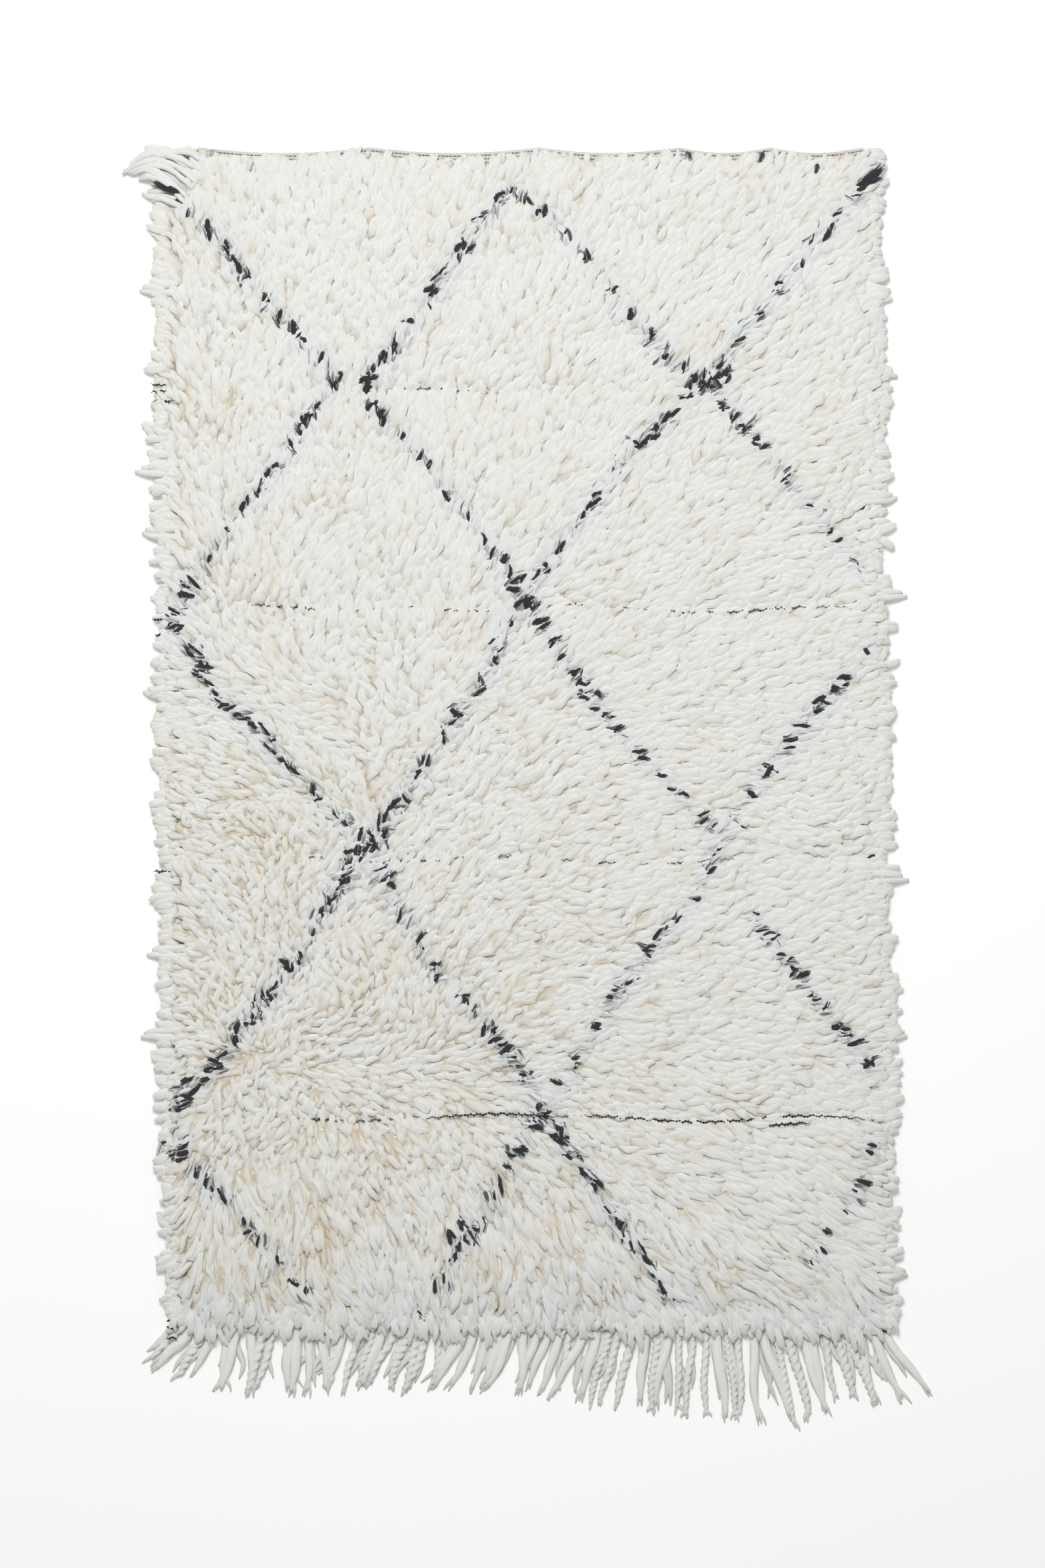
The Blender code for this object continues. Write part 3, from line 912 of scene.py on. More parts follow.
def tying_tree():
    """Geometry Nodes that tie one lock on each knot, crimp it and give it its own cell of the map."""
    tree = bpy.data.node_groups.new("tie_locks", "GeometryNodeTree")
    for name, way, kind in (
        ("Knots", "INPUT", "Geometry"),
        ("Shapes", "INPUT", "Collection"),
        ("Crimp Length", "INPUT", "Float"),
        ("Crimp Depth", "INPUT", "Float"),
        ("Wool", "INPUT", "Material"),
        ("Cells", "INPUT", "Float"),
        ("Locks", "OUTPUT", "Geometry"),
    ):
        tree.interface.new_socket(name, in_out=way, socket_type="NodeSocket" + kind)
    given = add(tree, "NodeGroupInput").outputs

    def value(name, kind="FLOAT"):
        return add(
            tree, "GeometryNodeInputNamedAttribute", {"Name": name}, data_type=kind
        ).outputs["Attribute"]

    def maths(kind, first, second):
        return add(tree, "ShaderNodeMath", {0: first, 1: second}, operation=kind).outputs[0]

    def vector(kind, first, second):
        inputs = {0: first, ("Scale" if kind == "SCALE" else 1): second}
        return add(tree, "ShaderNodeVectorMath", inputs, operation=kind).outputs[0]

    shapes = add(
        tree,
        "GeometryNodeCollectionInfo",
        {"Collection": given["Shapes"], "Separate Children": True, "Reset Children": True},
    )
    turned = add(tree, "ShaderNodeCombineXYZ", {"Z": value("turn")})
    rotation = add(tree, "FunctionNodeEulerToRotation", {0: turned.outputs[0]})
    placed = add(
        tree,
        "GeometryNodeInstanceOnPoints",
        {
            "Points": given["Knots"],
            "Instance": shapes.outputs[0],
            "Pick Instance": True,
            "Instance Index": value("shape", "INT"),
            "Rotation": rotation.outputs[0],
            "Scale": value("size", "FLOAT_VECTOR"),
        },
    )
    locks = add(tree, "GeometryNodeRealizeInstances", {"Geometry": placed.outputs[0]})
    fibres = add(tree, "ShaderNodeSeparateXYZ", {0: value("grain", "FLOAT_VECTOR")})
    from_root = maths("MULTIPLY", fibres.outputs["X"], FIBRE_LENGTH)
    crimps = maths("DIVIDE", from_root, given["Crimp Length"])
    spine = add(tree, "ShaderNodeCombineXYZ", {"X": crimps, "Y": value("seed")})
    wander = add(
        tree, "ShaderNodeTexNoise", {"Vector": spine.outputs[0], "Scale": 1.0, "Detail": 1.0}
    )
    swing = vector("SUBTRACT", wander.outputs["Color"], (0.5, 0.5, 0.5))
    level = vector("MULTIPLY", swing, (1.0, 1.0, 0.35))
    depth = maths("MULTIPLY", given["Crimp Depth"], value("along"))
    crimped = add(
        tree,
        "GeometryNodeSetPosition",
        {"Geometry": locks.outputs[0], "Offset": vector("SCALE", level, depth)},
    )
    smooth = add(tree, "GeometryNodeSetShadeSmooth", {"Geometry": crimped.outputs[0]})
    spot = vector("ADD", value("unit", "FLOAT_VECTOR"), value("cell", "FLOAT_VECTOR"))
    on_map = vector("SCALE", spot, maths("DIVIDE", 1.0, given["Cells"]))
    mapped = add(
        tree,
        "GeometryNodeStoreNamedAttribute",
        {"Geometry": smooth.outputs[0], "Name": "OFBake", "Value": on_map},
        data_type="FLOAT2",
        domain="CORNER",
    )
    finished = add(
        tree,
        "GeometryNodeSetMaterial",
        {"Geometry": mapped.outputs[0], "Material": given["Wool"]},
    )
    add(tree, "NodeGroupOutput", {0: finished.outputs[0]})
    return tree


def tie(name, knots, shapes, crimp, wool):
    """Ties the locks and keeps them as a plain mesh."""
    held = bpy.data.collections.new(name + "_shapes")
    for index, (taper, section, row) in enumerate(shapes):
        held.objects.link(lock_shape(f"{name}_shape_{index:02d}", taper, section, row))
    piece = bpy.data.objects.new(name, knot_mesh(name + "_knots", knots))
    tying = piece.modifiers.new("tie_locks", "NODES")
    tying.node_group = tying_nodes
    values = {
        "Shapes": held,
        "Crimp Length": crimp[0],
        "Crimp Depth": crimp[1],
        "Wool": wool,
        "Cells": float(math.ceil(math.sqrt(len(knots)))),
    }
    for socket in tying_nodes.interface.items_tree:
        if socket.name in values:
            tying[socket.identifier] = values[socket.name]
    bpy.context.collection.objects.link(piece)
    shown = piece.evaluated_get(bpy.context.evaluated_depsgraph_get())
    tied = bpy.data.meshes.new_from_object(shown)
    piece.modifiers.remove(tying)
    bare = piece.data
    piece.data = tied
    tied.name = name
    for spent in ("turn", "size", "shape", "seed", "cell", "unit"):
        layer = tied.attributes.get(spent)
        if layer:
            tied.attributes.remove(layer)
    bpy.data.meshes.remove(bare)
    for shape in list(held.objects):
        bpy.data.meshes.remove(shape.data)
    bpy.data.collections.remove(held)
    return piece


def heading(angle):
    """One step at this angle from +X."""
    return Vector((math.cos(angle), math.sin(angle)))


def scatter(chance, spread):
    """A small chance step."""
    return Vector((chance.gauss(0, spread), chance.gauss(0, spread)))


def knot(chance, place, angle, shape, stretch, girth, rise, full, dark=0.0, cool=0.0):
    """One knot: where it is, how its lock lies, and the lock's shape, sizes and wool."""
    return {
        "root": (place.x, place.y, KNOT_FOOT),
        "turn": angle,
        "size": (stretch, girth, rise),
        "shape": shape,
        "seed": chance.uniform(0, 90),
        "dark": dark,
        "cool": cool,
        "tone": chance.random(),
        "full": full,
        "brushed": smoothness(place),
    }


def lay_angle(chance, place, edges):
    """The way a lock lies, outwards at the rim, and how flat the pile is brushed there."""
    lay = lie(place)
    flat = min(lay.length / FLAT_LAY, 1.0)
    lay = lay.normalized()
    for edge, out in zip(edges, OUTWARD):
        lay = lay.lerp(out, max(1 - edge / RIM_WIDTH, 0) ** 1.3)
    swirl = noise.noise(Vector((place.x / SWIRL_SIZE, place.y / SWIRL_SIZE, 3.1)))
    angle = math.atan2(lay.y, lay.x) + 1.1 * swirl * (1.5 - flat)
    return angle + chance.gauss(0, 0.12 + 0.6 * (1 - flat) ** 2), flat


def trimmed(chance, place, edges, ahead, reach, stretch):
    """The stretch that keeps a lock from hanging too far over the edges."""
    for edge, out in zip(edges, OUTWARD):
        over = ahead.dot(out) * reach * stretch
        if over > edge + RIM_OVERHANG:
            stretch *= max((edge + RIM_OVERHANG) / over, 0.35)
    over = ahead.y * reach * stretch
    past = edges[3] + chance.uniform(*(BAND_OVERHANG if place.x < BARE_FROM else BARE_OVERHANG))
    if over > past:
        stretch *= max(past / over, 0.3)
    return stretch


def pile_knots(pitch, seed, under=False):
    """Every ivory knot of the pile, row by row from the banded end."""
    chance = random.Random(seed)
    knots = []
    rows = round((CLOTH_LENGTH - BAND_DEPTH) / pitch)
    columns = round((TOP_RIGHT.x - TOP_LEFT.x) / pitch)
    for row in range(rows):
        for column in range(columns):
            across = (column + 0.5 + 0.5 * (row % 2) - 0.25) / columns
            down = (BAND_DEPTH + 0.004) / CLOTH_LENGTH
            down += (1 - down) * (row + 0.5) / rows
            place = cloth(across, down)
            place.x += chance.uniform(-KNOT_JITTER, KNOT_JITTER)
            place.y += chance.uniform(-KNOT_JITTER, KNOT_JITTER)
            edges = [max(edge, 0.0) for edge in inland(place)]
            angle, flat = lay_angle(chance, place, edges)
            shaggy = clamped((SHAGGY_FROM - place.y) / SHAGGY_DEPTH)
            stubby = 0.75 * (1 - smoothness(place)) * (1 - 0.65 * shaggy)
            nub = chance.random() < max(1 - flat**0.8, stubby)
            shape = chance.randrange(4) + (4 if nub else 0)
            if under:
                shape = FIRST_UNDER + chance.randrange(2)
            reach = SHAPES[shape][2][0]
            ahead = heading(angle)
            place -= ahead * reach * 0.45 * (1 - flat)
            stretch = chance.uniform(0.82, 1.18)
            stretch *= 0.6 + 0.4 * flat if under else 1 + 0.35 * shaggy
            full = pile_height(place + ahead * reach * 0.5) / PILE_HEIGHT
            stretch = trimmed(chance, place, edges, ahead, reach, stretch)
            near = line_weight(place + ahead * reach * SEEN_SHARE)
            # Painted cool spill light towards the fringe, and the dye's bleed near the lattice's lines.
            cool = max(clamped((PAINTED_SPILL_FROM - place.y) / PAINTED_SPILL_DEPTH), clamped(1 + near * 0.35))
            smoke = chance.uniform(0.08, 0.52) * clamped(1 + near * 0.7)
            even = smoothness(place)
            rise = full * chance.uniform(0.93 + 0.03 * even, 1.05 - 0.03 * even)
            clump = noise.noise(Vector((place.x / CLUMP_WIDTH, place.y / CLUMP_LENGTH, 2.0)))
            rise *= 1 + shaggy * (0.30 * clump + chance.uniform(-0.07, 0.03))
            girth = chance.uniform(0.85, 1.2) * (1 + 0.12 * even) * (1 - 0.14 * shaggy)
            knots.append(knot(chance, place, angle, shape, stretch, girth, rise, full, smoke, cool))
    return knots


def lattice_knots():
    """The short dark locks along the lattice's lines, each with loose fibres round it."""
    chance = random.Random(11)
    knots = []
    for line in LATTICE:
        to_next = chance.uniform(0, DARK_PITCH)
        for (ax, ay, a), (bx, by, b) in zip(line, line[1:]):
            start, end = Vector((ax, ay)), Vector((bx, by))
            while to_next < (end - start).length:
                share = to_next / (end - start).length
                weight = a + (b - a) * share
                seen = start.lerp(end, share)
                to_next += DARK_PITCH * chance.choice(DARK_GAPS) / weight
                for _ in range(1 + (chance.random() < 0.8 * (weight - 0.8))):
                    knots += dark_tuft(chance, seen + scatter(chance, DARK_SCATTER), weight)
            to_next -= (end - start).length
    for blot in BLOTS:
        for _ in range(2):
            knots += dark_tuft(chance, Vector(blot) + scatter(chance, BLOT_SCATTER), 1.1)
    return knots


def dark_tuft(chance, spot, weight):
    """One dark lock that shows at this spot, with a paler one and loose fibres round it."""
    edges = [max(edge, 0.0) for edge in inland(spot)]
    angle, _ = lay_angle(chance, spot, edges)
    angle += chance.gauss(0, 0.35)
    full = pile_height(spot) / PILE_HEIGHT
    shape = FIRST_DARK + chance.randrange(3)
    stretch = chance.uniform(0.75, 1.25) * weight**0.5
    girth = chance.uniform(0.60, 1.15) * weight**0.5
    root = spot - heading(angle) * SHAPES[shape][2][0] * stretch * SEEN_SHARE
    rise = full * chance.uniform(1.0, 1.07)
    knots = [knot(chance, root, angle, shape, stretch, girth, rise, full, dark=1.0, cool=0.5)]
    if chance.random() < 0.9:
        turned = angle + chance.gauss(0, 0.25)
        shift = scatter(chance, 0.0045)
        shape = FIRST_DARK + chance.randrange(3)
        root = spot + shift - heading(turned) * SHAPES[shape][2][0] * SEEN_SHARE
        rise = full * chance.uniform(0.96, 1.02)
        girth = chance.uniform(0.7, 1.2)
        smoky = chance.uniform(0.50, 0.75)
        knots.append(knot(chance, root, turned, shape, 1.0, girth, rise, full, smoky, 0.7))
    for _ in range(2):
        turned = angle + chance.gauss(0, 0.35)
        shape = FIRST_THREAD + chance.randrange(2)
        root = spot + scatter(chance, 0.004) - heading(turned) * 0.012
        dark = chance.uniform(0.45, 0.8)
        rise = full * chance.uniform(0.96, 1.02)
        girth = chance.uniform(0.5, 1.1)
        knots.append(knot(chance, root, turned, shape, 0.9, girth, rise, full, dark, 0.8))
    return knots


def pile_core():
    """The lower half of the pile, where the locks press together into one dense mass."""
    mesh = bmesh.new()
    grid = []
    for row in range(CORE_ROWS + 1):
        line = []
        for column in range(CORE_COLUMNS + 1):
            across = CORE_INSET + (1 - 2 * CORE_INSET) * column / CORE_COLUMNS
            down = BAND_DEPTH * 1.3 / CLOTH_LENGTH
            down += (1 - CORE_INSET - down) * row / CORE_ROWS
            place = cloth(across, down)
            tuft = noise.noise(Vector((place.x, place.y, 0.3)) / CORE_TUFT)
            outermost = row in (0, CORE_ROWS) or column in (0, CORE_COLUMNS)
            height = CORE_SHARE * pile_height(place) * (0.5 if outermost else 1) + CORE_RELIEF * tuft
            line.append(mesh.verts.new((*place, height)))
        grid.append(line)
    for row in range(CORE_ROWS):
        for column in range(CORE_COLUMNS):
            mesh.faces.new(
                (
                    grid[row + 1][column],
                    grid[row + 1][column + 1],
                    grid[row][column + 1],
                    grid[row][column],
                )
            )
    rim = [grid[row][column] for row, column in round_edge(CORE_ROWS, CORE_COLUMNS)]
    feet = [mesh.verts.new((vert.co.x, vert.co.y, CORE_FOOT)) for vert in rim]
    for index in range(len(rim)):
        after = (index + 1) % len(rim)
        mesh.faces.new((rim[index], feet[index], feet[after], rim[after]))
    mesh.faces.new(feet)
    bmesh.ops.recalc_face_normals(mesh, faces=mesh.faces)
    return mesh


def core_painted_shade_wool():
    """The dense wool between the locks, darker and creamier than their tips as painted shade in the crevices.
    """
    pressed, tree, shader = new_material("core_painted_shade_wool", WOOL_ROUGHNESS)
    where = add(tree, "ShaderNodeTexCoord").outputs["Object"]
    tufts = add(tree, "ShaderNodeTexNoise", {"Vector": where, "Scale": CORE_FIBRES, "Detail": 3.0})
    blend = add(tree, "ShaderNodeMix", {0: tufts.outputs["Fac"]}, data_type="RGBA")
    blend.inputs[6].default_value, blend.inputs[7].default_value = CORE_PAINTED_SHADE_COLOURS
    bump = add(tree, "ShaderNodeBump", {"Height": tufts.outputs["Fac"], "Distance": CORE_RELIEF})
    tree.links.new(blend.outputs[2], shader.inputs["Base Color"])
    tree.links.new(bump.outputs[0], shader.inputs["Normal"])
    return pressed


tying_nodes = tying_tree()
ivory = spun_wool("pile_wool", PILE_PAINTED_SHADE_COLOURS, PILE_PAINTED_SHADE_LEVELS, PILE_RELIEF, 0.0)
core = keep("pile_core", pile_core(), core_painted_shade_wool())
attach(core, "root")
knots = pile_knots(KNOT_PITCH, 7) + pile_knots(UNDER_PITCH, 8, under=True)
knots += lattice_knots()
breaks = (math.inf, *PARTINGS, -math.inf)
for number, (top, foot) in enumerate(zip(breaks, breaks[1:])):
    held = [each for each in knots if foot < each["root"][1] <= top]
    piece = tie(f"pile_{number + 1}", held, SHAPES, PILE_CRIMP, ivory)
    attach(piece, "root")
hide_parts("rug")

# ---- The rim ------------------------------------------------------------------------------------
# The outermost knots: their locks hang over the selvedges and the first of the fringe, and droop
# to the floor. Here and there a long one, or a bundle of them, sticks out.
RIM_PITCH = 0.0082
# The rim's wool from root to tip, darker lower down towards the floor as painted shade.
RIM_PAINTED_SHADE_COLOURS = ((0.70, 0.65, 0.56, 1), (0.81, 0.80, 0.75, 1), (0.855, 0.86, 0.835, 1))
RIM_PAINTED_SHADE_LEVELS = (-0.0010, 0.0125)
RIM_RELIEF = 0.0026
RIM_SOFTNESS = 0.10
RIM_CRIMP = (0.014, 0.011)
# Shapes of lock at the sides and at the lower end, with the same six sizes as in the pile.
SIDE_LOCKS = (
    (0.031, 0.0165, 0.0062, 0.004, 0.0053, 0.0036),
    (0.026, 0.0172, 0.0070, -0.006, 0.0056, 0.0038),
    (0.036, 0.0160, 0.0056, -0.005, 0.0048, 0.0034),
    (0.022, 0.0178, 0.0080, 0.007, 0.0058, 0.0040),
)
END_LOCKS = (
    (0.052, 0.0200, 0.0112, 0.006, 0.0040, 0.0034),
    (0.044, 0.0204, 0.0118, -0.007, 0.0044, 0.0036),
    (0.060, 0.0194, 0.0106, -0.004, 0.0036, 0.0032),
)
# At the sides and at the lower end: knots to one pitch, reach past the cloth, and size of a clump.
SIDE_PACKING = 2
SIDE_REACH = (0.009, 0.029)
SIDE_CLUMP = 0.015
END_PACKING = 3.4
END_REACH = (0.006, 0.036)
END_CLUMP = 0.022
RIM_SHAPES = [(TAPER, SECTION, row) for row in SIDE_LOCKS + END_LOCKS]
# Each long tuft: side, how far down from the top edge and how far it reaches past the cloth.
LONG_TUFTS = (
    (0, 0.0605, 0.030), (0, 0.190, 0.034), (0, 0.435, 0.041), (0, 0.520, 0.034), (0, 0.735, 0.0325),
    (0, 1.085, 0.0335), (0, 1.195, 0.040), (1, 0.300, 0.030), (1, 0.470, 0.031), (1, 0.600, 0.042),
    (1, 0.980, 0.040), (1, 1.190, 0.031), (1, 1.510, 0.030),
)
TUFT_HEIGHTS = (0.0185, 0.0165, 0.0095, 0.0045)
# The corner locks, root to tip: x, y in millimetres, and how dark the wool is. The pale ones droop
# to the floor and the dark ones lie on the pile.
DROOPING = (0.0200, 0.0235, 0.0170, 0.0065)
LYING = (0.0190, 0.0240, 0.0235, 0.0215)
CORNER_LOCKS = (
    (((-426, 827), (-463, 844), (-501, 846), (-534, 826)), 0.0),
    (((-430, 812), (-467, 834), (-501, 840), (-535, 825)), 0.0),
    (((-437, 801), (-471, 827), (-501, 834), (-529, 824)), 0.0),
    (((-445, 791), (-475, 818), (-501, 829), (-522, 823)), 0.0),
    (((-448, 782), (-475, 808), (-497, 821), (-512, 820)), 0.0),
    (((-415, 831), (-445, 852), (-478, 851), (-514, 844)), 0.0),
    (((-445, 834), (-471, 848), (-495, 850), (-520, 839)), 0.0),
    (((-455, 790), (-466, 797), (-478, 805), (-491, 811)), 1.0),
    (((-452, 776), (-472, 786), (-486, 790), (-496, 789)), 0.0),
    (((454, 806), (463, 813), (474, 820), (487, 827)), 1.0),
    (((451, 800), (462, 806), (474, 813), (489, 819)), 1.0),
    (((444, 815), (452, 826), (459, 834), (465, 840)), 0.0),
    (((452, 812), (463, 822), (472, 830), (479, 835)), 0.0),
    (((432, 818), (437, 828), (441, 837), (445, 844)), 0.0),
    (((458, 809), (466, 815), (477, 823), (489, 832)), 1.0),
    (((456, 796), (470, 803), (484, 809), (493, 810)), 0.0),
)


def rim_knots():
    """The locks of both sides, in clumps, and those that hang over the fringe."""
    chance = random.Random(21)
    knots = []
    for side, out in ((0.0, -1), (1.0, 1)):
        for index in range(round(SIDE_PACKING * CLOTH_LENGTH / RIM_PITCH)):
            down = min((index + chance.random()) * RIM_PITCH / SIDE_PACKING / CLOTH_LENGTH, 1.0)
            inward = chance.uniform(0.004, 0.014)
            place = cloth(side, down)
            clump = 0.5 + noise.noise(Vector((place.y / SIDE_CLUMP, side * 9, 0.7)))
            past = SIDE_REACH[0] + (SIDE_REACH[1] - SIDE_REACH[0]) * clump
            place.x -= out * inward
            up = between(BRUSHED, place.y)[1]
            angle = math.atan2(0.45 * up, out) + chance.gauss(0, 0.30)
            if place.y + 0.03 * math.sin(angle) > TOP_LEFT.y - BAND_DEPTH * 2 / 3:
                angle = math.atan2(-0.15, out)  # clear of the band
            shape = chance.randrange(4)
            stretch = (inward + past * chance.uniform(0.75, 1.05)) / SIDE_LOCKS[shape][0]
            rise = chance.uniform(0.8, 1.12)
            girth = chance.uniform(0.85, 1.2)
            # The cool tint at the sides is painted spill light.
            knots.append(knot(chance, place, angle, shape, stretch, girth, rise, 1.0, cool=0.1))
    width = BOTTOM_RIGHT.x - BOTTOM_LEFT.x
    for index in range(round(END_PACKING * width / RIM_PITCH)):
        across = min((index + chance.random()) * RIM_PITCH / END_PACKING / width, 1.0)
        inward = chance.uniform(0.006, 0.040)
        place = cloth(across, 1.0)
        clump = 0.5 + 1.1 * noise.noise(Vector((place.x / END_CLUMP, 4.0, 0.7)))
        past = END_REACH[0] + (END_REACH[1] - END_REACH[0]) * clump
        place.y += inward
        angle = math.atan2(-1.0, 0.75 * (place.x + 0.30)) + chance.gauss(0, 0.20)
        shape = 4 + chance.randrange(3)
        stretch = (inward + past * chance.uniform(0.45, 1.10)) / RIM_SHAPES[shape][2][0]
        rise = chance.uniform(0.92, 1.08)
        girth = chance.uniform(0.8, 1.2)
        # The cool tint at the lower end is painted spill light.
        knots.append(knot(chance, place, angle, shape, stretch, girth, rise, 1.7, cool=0.4))
    return knots


def long_locks():
    """The long tufts, each of two locks that meet at the tip, and the corner locks."""
    chance = random.Random(22)
    noise.seed_set(22)  # else noise_vector takes its offsets from the clock
    locks = []
    for side, from_top, past in LONG_TUFTS:
        out = 1 if side else -1
        foot = cloth(side, from_top / CLOTH_LENGTH)
        aside = chance.uniform(-0.004, 0.004)
        for spread in (-0.0050, 0.0050):
            lag = 0.0 if spread < 0 else chance.uniform(0.003, 0.010)
            steps = (
                (-0.020, 1.4 * spread),
                (0.002, spread),
                (0.6 * past, 0.7 * spread),
                (past - lag, aside + 0.5 * spread),
            )
            points = [
                Vector((foot.x + out * beyond, foot.y + beside, height))
                for (beyond, beside), height in zip(steps, TUFT_HEIGHTS)
            ]
            wide = chance.uniform(0.0050, 0.0062)
            widths = (0.7 * wide, wide, 0.95 * wide, 0.8 * wide, 0.45 * wide)
            # The cool tint is painted spill light.
            lock = strand(through(points, 9), widths, ROUND, 0.1, 0.75, cool=0.1, tone=chance.random())
            locks.append(lock)
    for points, dark in CORNER_LOCKS:
        for _ in range(2):
            line = [
                Vector((x / 1000 + chance.gauss(0, 0.0016), y / 1000 + chance.gauss(0, 0.0022), z))
                for (x, y), z in zip(points, LYING if dark else DROOPING)
            ]
            wide = chance.uniform(0.0034, 0.0048)
            widths = (0.7 * wide, wide, 1.1 * wide, (0.9 if dark else 0.4) * wide)
            line = [
                step + 0.0016 * noise.noise_vector(step * 90 + Vector((len(locks), 0, 0)))
                for step in through(line, 14)
            ]
            # The cool tint is painted spill light.
            locks.append(strand(line, widths, ROUND, 0.15, 0.75, dark, 0.1, chance.random(), 1.2))
    return locks


rim_wool = spun_wool("rim_wool", RIM_PAINTED_SHADE_COLOURS, RIM_PAINTED_SHADE_LEVELS, RIM_RELIEF, RIM_SOFTNESS)
rim = tie("rim_locks", rim_knots(), RIM_SHAPES, RIM_CRIMP, rim_wool)
tufts = keep("long_locks", spin(long_locks()), rim_wool)
for piece in (rim, tufts):
    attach(piece, "root")

# ---- The dark wefts -----------------------------------------------------------------------------
# Black plied yarn woven across after every few dozen rows of knots. It shows between the locks
# where the pile parts, most of all in the lowest row, and where it turns at the selvedges.
WEFT_RADIUS = 0.0022
WEFT_TURN = 0.0080
WEFT_ZIGZAG = 0.0014
WEFT_WAVE = 0.0125
WEFT_STEP = 0.0040
# A weft that lies below this share of the pile's height is half hidden in the wool and looks greyer.
SUNK_BELOW = 0.90
WEFT_DYE = 0.95
SUNK_DYE = 0.62
# Each weft: from x, to x, y, and how high in the pile it lies.
DARK_WEFTS = (
    (-0.495, -0.474, 0.536, 1.12), (-0.495, -0.474, 0.529, 1.12), (-0.492, -0.462, 0.519, 1.08),
    (-0.161, -0.020, 0.529, 0.84),
    (-0.359, -0.160, 0.239, 0.89), (-0.160, 0.140, 0.239, 0.86), (0.140, 0.469, 0.236, 0.89),
    (-0.314, 0.060, -0.099, 0.87), (0.060, 0.289, -0.102, 0.88),
    (-0.341, -0.125, -0.447, 0.85), (-0.125, 0.060, -0.445, 1.08), (0.060, 0.487, -0.448, 0.92),
    (0.330, 0.392, -0.456, 1.02), (-0.494, -0.470, 0.220, 1.10), (-0.490, -0.474, 0.203, 1.05),
    (-0.492, -0.468, -0.112, 1.05), (-0.474, -0.462, -0.722, 1.15), (-0.474, -0.458, -0.732, 1.10),
    (-0.474, -0.460, -0.740, 1.00), (0.468, 0.482, -0.098, 1.00), (0.486, 0.502, -0.730, 0.97),
)


def dark_wefts():
    """Each weft as a plied yarn that zigzags between the locks and dips under some of them."""
    chance = random.Random(31)
    wefts = []
    for start, end, y, share in DARK_WEFTS:
        count = max(round((end - start) / WEFT_STEP), 6)
        phase = chance.uniform(0, 6)
        line = []
        for index in range(count + 1):
            x = start + (end - start) * index / count
            wave = math.sin(math.tau * x / WEFT_WAVE + phase + 2 * math.sin(x * 90))
            place = Vector((x, y + WEFT_ZIGZAG * wave + 0.004 * math.sin(x * 21 + phase)))
            dip = 0.0016 * noise.noise(Vector((x / 0.012, y * 50, 1.0)))
            line.append(Vector((*place, share * pile_height(place) + dip)))
        turns = (end - start) / WEFT_TURN
        wide = WEFT_RADIUS * chance.uniform(0.85, 1.2)
        widths = (0.4 * wide, wide, wide, wide, 0.4 * wide)
        dye = WEFT_DYE if share > SUNK_BELOW else SUNK_DYE
        weft = strand(line, widths, TWO_PLY, turns, 0.9, dark=dye, cool=0.5, tone=chance.random())
        wefts.append(weft)
    return wefts


wefts = keep("dark_wefts", spin(dark_wefts()), rim_wool)
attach(wefts, "root")

# ---- The fringe ---------------------------------------------------------------------------------
# The warp ends of the lower edge, twisted in twos into about sixty cords. Some have come untwisted,
# all end in loose points, and thin single yarns lie loose under them.
FRINGE_STRIP = 0.0083
CORDS = 60
CORD_UNEVEN = 0.006
CORD_RADIUS = (0.0050, 0.0071)
CORD_HEIGHTS = (0.0071, 0.0058, 0.0052, 0.0048)
CORD_TURN = 0.0185
CORD_STEP = 0.0016
LOOSE_SHARE = 0.46
POINT_HEIGHT = 0.0022
YARNS = 54
YARN_RADIUS = (0.0030, 0.0046)
YARN_HEIGHTS = (0.0050, 0.0042, 0.0038, 0.0030)
# The fringe's yarns, darker lower down as painted shade under and between the cords.
WARP_PAINTED_SHADE_COLOURS = ((0.60, 0.59, 0.54, 1), (0.76, 0.77, 0.73, 1), (0.86, 0.88, 0.855, 1))
WARP_PAINTED_SHADE_LEVELS = (0.0005, 0.0085)
WARP_RELIEF = 0.0010
WARP_SOFTNESS = 0.25
# How the fringe lies: share of the width, lean along x and reach down, in metres.
FRINGE_LAY = (
    (0, -0.046, 0.036), (0.04, -0.034, 0.062), (0.11, -0.014, 0.084), (0.19, -0.008, 0.082),
    (0.28, -0.022, 0.074), (0.38, -0.026, 0.080), (0.48, -0.024, 0.074), (0.57, -0.032, 0.088),
    (0.66, -0.016, 0.100), (0.74, 0.004, 0.114), (0.84, 0.026, 0.119), (0.91, 0.024, 0.092),
    (0.97, 0.030, 0.088), (1, 0.056, 0.084),
)


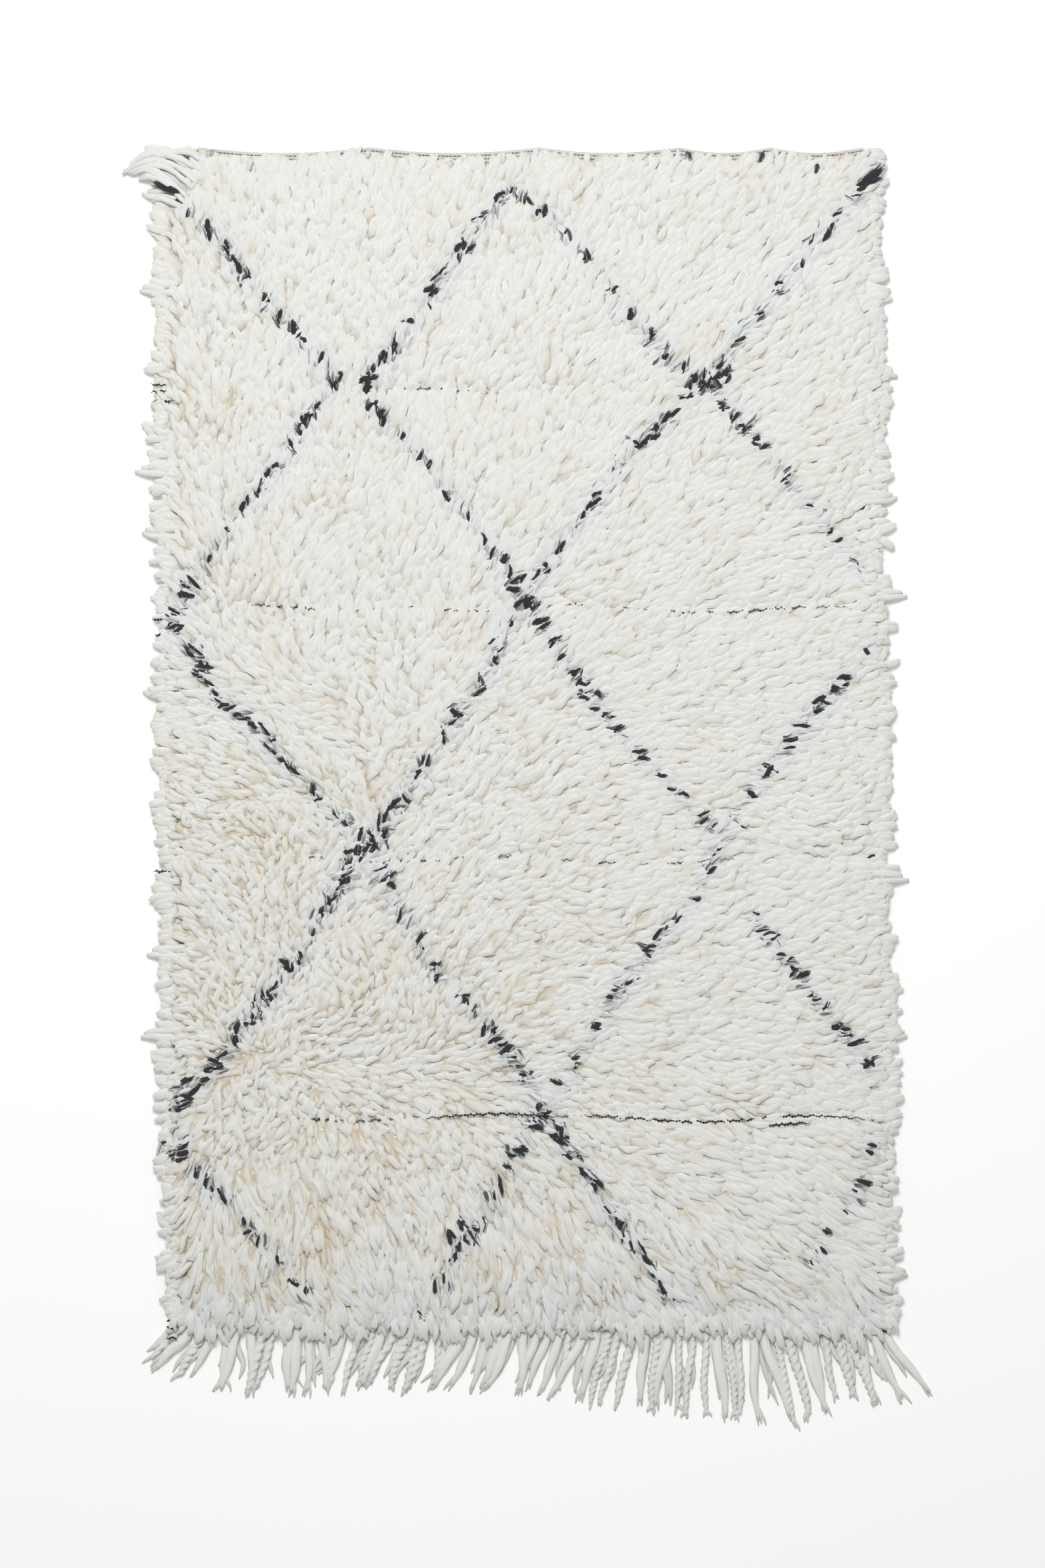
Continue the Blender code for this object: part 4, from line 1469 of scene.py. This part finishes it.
def cords():
    """Every cord, with the loose points of its end, and the thin yarns under them."""
    ways = random.Random(5)
    chance = random.Random(6)
    edge = BOTTOM_RIGHT - BOTTOM_LEFT
    outward = Vector((edge.y, -edge.x)).normalized()
    start = cloth(0, 1) + outward * FRINGE_STRIP
    strands = []
    for index in range(CORDS):
        share = (index + 0.5) / CORDS
        lean, reach = between(FRINGE_LAY, share)
        reach += ways.uniform(-CORD_UNEVEN, CORD_UNEVEN)
        sway = 2.2 * ways.uniform(-0.0012, 0.0012)
        root = start + edge * share
        lean += chance.gauss(0, 0.0075) - 0.007 * math.sin(index * 1.9)
        loose = chance.random() < LOOSE_SHARE
        wide = chance.uniform(*CORD_RADIUS)
        level = chance.uniform(0.0, 0.0024)
        places = (
            root - outward * 0.012,
            root + Vector((0.22 * lean + sway, -0.22 * reach)),
            root + Vector((0.62 * lean - sway, -0.62 * reach)),
            root + Vector((lean, -reach)),
        )
        points = [Vector((*place, height)) for place, height in zip(places, CORD_HEIGHTS)]
        points[1].z += level
        points[2].z += level
        if loose:
            body = through(points, 18)
            widths = (0.9 * wide, 1.15 * wide, 1.2 * wide, 0.95 * wide, 0.35 * wide)
            strands.append(strand(body, widths, ROUND, 0.5, 0.62, tone=chance.random()))
        else:
            body = through(points, round(reach / CORD_STEP))
            turns = reach / CORD_TURN * chance.uniform(0.85, 1.2)
            widths = (0.9 * wide, wide, wide, wide, wide, 0.9 * wide, 0.5 * wide)
            strands.append(strand(body, widths, TWO_PLY, turns, 0.72, tone=chance.random()))
        finish = (body[-1] - body[-3]).normalized()
        for _ in range(3):
            spread = Vector((chance.gauss(0, 0.004), chance.gauss(0, 0.0015), 0))
            tip = body[-1] + finish * chance.uniform(0.004, 0.011) + spread
            tip.z = POINT_HEIGHT
            waist = body[-3].lerp(tip, 0.5) + spread * 0.3
            line = through([body[-4], waist, tip], 5)
            widths = (0.5 * wide, 0.36 * wide, 0.10 * wide)
            strands.append(strand(line, widths, ROUND, 0.2, 0.7, tone=chance.random()))
    for index in range(YARNS):
        share = (index + chance.random()) / YARNS
        lean, reach = between(FRINGE_LAY, share)
        lean += chance.gauss(0, 0.016)
        reach *= chance.uniform(0.70, 0.98)
        root = start + edge * share
        sway = chance.gauss(0, 0.004)
        wide = chance.uniform(*YARN_RADIUS)
        places = (
            root - outward * 0.010,
            root + Vector((0.30 * lean + sway, -0.30 * reach)),
            root + Vector((0.70 * lean - sway, -0.72 * reach)),
            root + Vector((lean, -reach)),
        )
        points = [Vector((*place, height)) for place, height in zip(places, YARN_HEIGHTS)]
        widths = (0.8 * wide, wide, 1.1 * wide, 0.8 * wide, 0.25 * wide)
        strands.append(strand(through(points, 14), widths, ROUND, 0.6, 0.66, tone=chance.random()))
    return strands


warp_wool = spun_wool("warp_wool", WARP_PAINTED_SHADE_COLOURS, WARP_PAINTED_SHADE_LEVELS, WARP_RELIEF, WARP_SOFTNESS)
fringe = keep("fringe_cords", spin(cords()), warp_wool)
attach(fringe, "root")
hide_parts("fringe")
